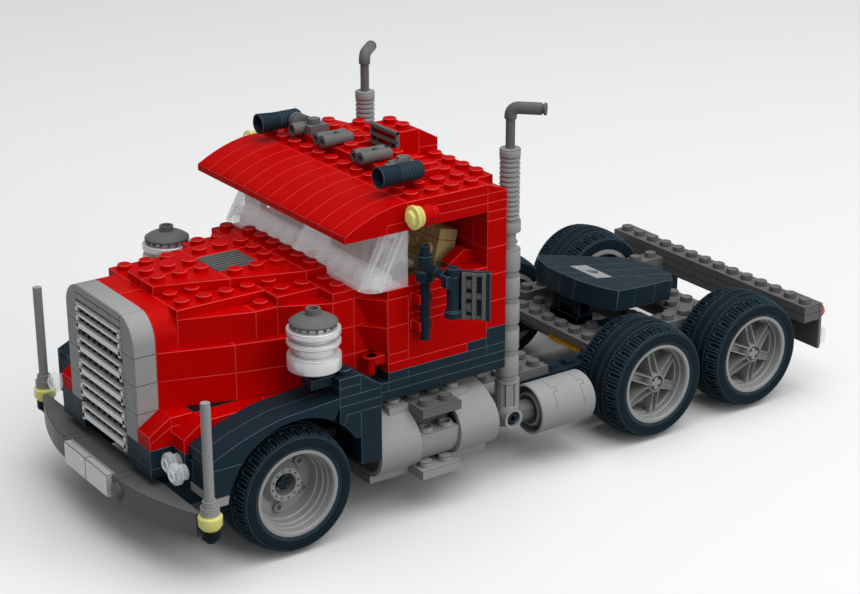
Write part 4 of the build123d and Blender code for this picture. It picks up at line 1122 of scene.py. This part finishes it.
tyre = Moulding()
section = [(15.1, 34.3), (19.4, 34.0), (19.9, 34.4), (20.0, 34.9)]
for x0, x1, drop in ((35.0, 40.2, 0.7), (40.3, 42.4, 0), (42.5, 43.3, 0.7), (43.4, 46.6, 0), (46.7, 47.5, 0.7),
                     (47.6, 49.7, 0), (49.8, 55.0, 0.7)):
    section += [(crown(x0) - drop, x0), (crown(x1) - drop, x1)]
section += [(20.0, 55.1), (19.9, 55.6), (19.4, 56.0), (15.9, 56.0), (15.5, 55.6), (15.1, 55.6)]
tyre.turned(section, (0, 0, AXLE_Z), "x", 72, 0.08, hollow=True)
for i in range(30):
    a = 12 * i
    for near, far in ((50.0, 55.0), (40.0, 35.0)):
        inset = 0.7 if far > near else -0.7
        wrap(tyre, [(a, far), (a, near + inset), (a + 1.6, near), (a + 5.2, near), (a + 6.8, near + inset),
                    (a + 6.8, far), (a + 5.0, far), (a + 5.0, near + 2.4 * inset),
                    (a + 4.2, near + 1.8 * inset), (a + 2.6, near + 1.8 * inset),
                    (a + 1.8, near + 2.4 * inset), (a + 1.8, far)])
        wrap(tyre, [(a + 8.2, far), (a + 8.2, near), (a + 10.4, near), (a + 10.4, far)])
tyre.copies(tyre.mirrored())
for name, d in AXLES:
    placed = Moulding()
    placed.copies(tyre, [(0, d, 0)])
    make(name + "_tyre_pair", placed, "tyre", [name + "_tyres"], name + "_wheelset")

# %% [markdown]
# ## Rims and axles
# The front rims are deep dishes with stepped rings down to a hub with a centre hole; a ring of dark dots on the
# hub is painted shade standing for small holes. The rear rims have six spokes, and each is two thin fins with a
# plate between them. All are turned shells with prisms set round a circle.

# %% Rims
BARREL = [(15.1, 34.0), (15.1, 55.0), (14.9, 55.6), (13.9, 55.6), (13.5, 55.2), (13.3, 54.2), (13.3, 52.6),
          (12.9, 52.4), (12.8, 50.4), (12.3, 50.2), (12.1, 47.8)]
deep_rim = Moulding()
deep_rim.turned(BARREL + [(11.6, 47.5), (11.3, 44.6), (11.1, 44.0), (7.6, 44.0), (6.6, 45.4), (5.9, 47.2),
                          (5.7, 47.6), (4.1, 47.6), (3.9, 47.4), (3.9, 42.6), (2.45, 42.6), (2.45, 34.6),
                          (6, 34.6), (6, 41.5), (12.6, 41.5), (13.4, 40.5), (13.4, 34)],
                (0, 0, AXLE_Z), "x", 64, 0.0, hollow=True)
# Twelve dots in the rim's darker edge colour: painted shade in place of a ring of holes in the hub.
for y, z in ring_of(12, (0, AXLE_Z), 4.85, 10):
    deep_rim.turned([(0.42, 0), (0.42, 0.1)], (47.58, y, z), "x", 8, 0, tone=1)
for y, z in ring_of(5, (0, AXLE_Z), 8.9, 43):
    deep_rim.turned([(1.0, -0.5), (1.6, -0.5), (1.6, 1.2), (1.0, 1.2)], (44.2, y, z), "x", 16, 0.1, hollow=True)
deep_rim.copies(deep_rim.mirrored())

spoked_rim = Moulding()
spoked_rim.turned(BARREL + [(11.9, 44.0), (3.4, 44.0), (3.4, 42.6), (12.6, 42.6), (13.4, 41.6), (13.4, 34.0)],
                  (0, 0, AXLE_Z), "x", 64, 0.0, hollow=True)
spoked_rim.turned([(2.45, 34.6), (3.6, 34.6), (3.6, 54.2), (3.3, 54.6), (2.9, 54.6), (2.9, 53.2), (2.45, 53.2)],
                  (0, 0, AXLE_Z), "x", 32, 0.08, hollow=True)
for i in range(6):
    turn = Matrix.Rotation(math.radians(60 * i + 6), 3, "X")
    centre = Vector((0, 0, AXLE_Z))
    for y in (-1.65, 1.1):
        fin = [turn @ Vector((x, y, r)) + centre
               for r, x in ((3.2, 54.2), (12.6, 51.2), (12.6, 50.2), (3.2, 46))]
        spoked_rim.prism(fin, turn @ Vector((0, 0.55, 0)), 0.08)
    web = [turn @ Vector((50.6, y, r)) + centre
           for y, r in ((-1.4, 3.2), (1.4, 3.2), (1.4, 12.7), (-1.4, 12.7))]
    spoked_rim.prism(web, (-1.0, 0, 0), 0.08)
spoked_rim.copies(spoked_rim.mirrored())
for name, d in AXLES:
    placed = Moulding()
    placed.copies(deep_rim if name == "front" else spoked_rim, [(0, d, 0)])
    make(name + "_rim_pair", placed, "rim", [name + "_rims"], name + "_wheelset", slot="light_grey")

# %% Cross axles
for name, d in AXLES:
    reach = 46.5 if name == "front" else 54.3
    arms = []
    for i in range(4):
        a = math.radians(90 * i)
        arms += [(y * math.cos(a) - z * math.sin(a), y * math.sin(a) + z * math.cos(a))
                 for y, z in ((2.3, 0.85), (0.85, 0.85), (0.85, 2.3))]
    shaft = Moulding()
    shaft.prism([(-reach, d + y, AXLE_Z + z) for y, z in arms], (2 * reach, 0, 0), 0.1)
    make(name + "_cross_axle", shaft, "midnight" if name == "front" else "light_grey", [name + "_axle"],
         name + "_wheelset", slot="dark_grey")

# %% [markdown]
# ## Pieces kept from the CAD model
# The rails, the hood core and the cab base are plain where they show at all, so their CAD solids stay. Their
# edges are welded and bevelled by modifiers, which leave the frame's own mesh as it is.

# %% Finish the kept nodes
for name, colour in (("chassis_rails", "midnight"), ("hood_core", "black"), ("cab_base", "black")):
    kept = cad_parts[name]
    kept.data.materials.clear()
    for material in finishes[colour]:
        kept.data.materials.append(material)
    weld = kept.modifiers.new("weld", "WELD")
    weld.merge_threshold = 0.00001
    soften = kept.modifiers.new("soften", "BEVEL")
    soften.width = 0.00018
    soften.segments = 1
    soften.limit_method = "ANGLE"
    soften.angle_limit = math.radians(35)
    # The bevel faces get material 1, the edge finish: a painted highlight, paler than the midnight and black
    # faces.
    soften.material = 1
    print("kept", name)

# %% [markdown]
# ## Floor and light
# A pale floor, a broad lamp overhead and a softer one from the truck's left light it like a product shot. The
# floor's own colour makes the backdrop white, and the world is white only where it is looked at, so that no
# extra light or reflection washes out the plastic.

# %% Floor
floor_mesh = bpy.data.meshes.new("studio_floor")
floor_mesh.from_pydata([(x, y, -0.0002) for x, y in ((-6, -6), (6, -6), (6, 6), (-6, 6))], [], [(0, 1, 2, 3)])
floor = bpy.data.objects.new("studio_floor", floor_mesh)
bpy.context.collection.objects.link(floor)
floor_paint = finish("floor_paint", paint(250, 250, 250), gloss=(0.85, 0.95), change=0.004, bump=0.000001,
                     grain=20, shine=0.0)
floor_mesh.materials.append(floor_paint)


def seen_directly(tree, *kinds):
    """1 for rays from the camera and of the given kinds, and 0 for scattered light."""
    path = tree.nodes.new("ShaderNodeLightPath")
    total = path.outputs["Is Camera Ray"]
    for kind in kinds:
        add = tree.nodes.new("ShaderNodeMath")
        add.operation = "MAXIMUM"
        tree.links.new(total, add.inputs[0])
        tree.links.new(path.outputs[kind], add.inputs[1])
        total = add.outputs["Value"]
    return total


tree = floor_paint.node_tree
surface = tree.nodes["Principled BSDF"]
pale = surface.inputs["Base Color"].links[0].from_socket
bounce = tree.nodes.new("ShaderNodeMix")
bounce.data_type = "RGBA"
bounce.inputs["A"].default_value = paint(132, 132, 132)
tree.links.new(pale, bounce.inputs["B"])
tree.links.new(seen_directly(tree, "Is Glossy Ray", "Is Transmission Ray"), bounce.inputs["Factor"])
tree.links.new(bounce.outputs["Result"], surface.inputs["Base Color"])


def lamp(name, place, aim, width, height, watts):
    """A soft rectangular lamp that looks at a point."""
    data = bpy.data.lights.new(name, "AREA")
    data.shape = "RECTANGLE"
    data.size = width
    data.size_y = height
    data.energy = watts
    made = bpy.data.objects.new(name, data)
    made.location = place
    made.rotation_euler = (Vector(aim) - Vector(place)).to_track_quat("-Z", "Y").to_euler()
    bpy.context.collection.objects.link(made)


lamp("overhead", (0.35, 0.15, 1.5), (0, 0, 0.05), 2.0, 2.0, 25)
lamp("left_side", (1.4, 0.35, 0.5), (0, 0, 0.06), 0.9, 0.7, 5)
print("lamps placed")

# %% World
world = bpy.data.worlds.new("studio_world")
bpy.context.scene.world = world
world.use_nodes = True
sky = world.node_tree
sky.nodes.clear()
out = sky.nodes.new("ShaderNodeOutputWorld")
backdrop = sky.nodes.new("ShaderNodeBackground")
backdrop.inputs["Color"].default_value = (1, 1, 1, 1)
backdrop.inputs["Strength"].default_value = 0.75
ambient = sky.nodes.new("ShaderNodeBackground")
ambient.inputs["Color"].default_value = (0.95, 0.97, 1.0, 1)
ambient.inputs["Strength"].default_value = 0.26
choose = sky.nodes.new("ShaderNodeMixShader")
sky.links.new(seen_directly(sky, "Is Transmission Ray"), choose.inputs["Fac"])
sky.links.new(ambient.outputs["Background"], choose.inputs[1])
sky.links.new(backdrop.outputs["Background"], choose.inputs[2])
sky.links.new(choose.outputs["Shader"], out.inputs["Surface"])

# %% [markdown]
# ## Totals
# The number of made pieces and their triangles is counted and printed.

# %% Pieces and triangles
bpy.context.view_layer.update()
triangles = sum(len(face.vertices) - 2 for piece in made_pieces for face in piece.data.polygons)
print("pieces", len(made_pieces), "triangles", triangles)
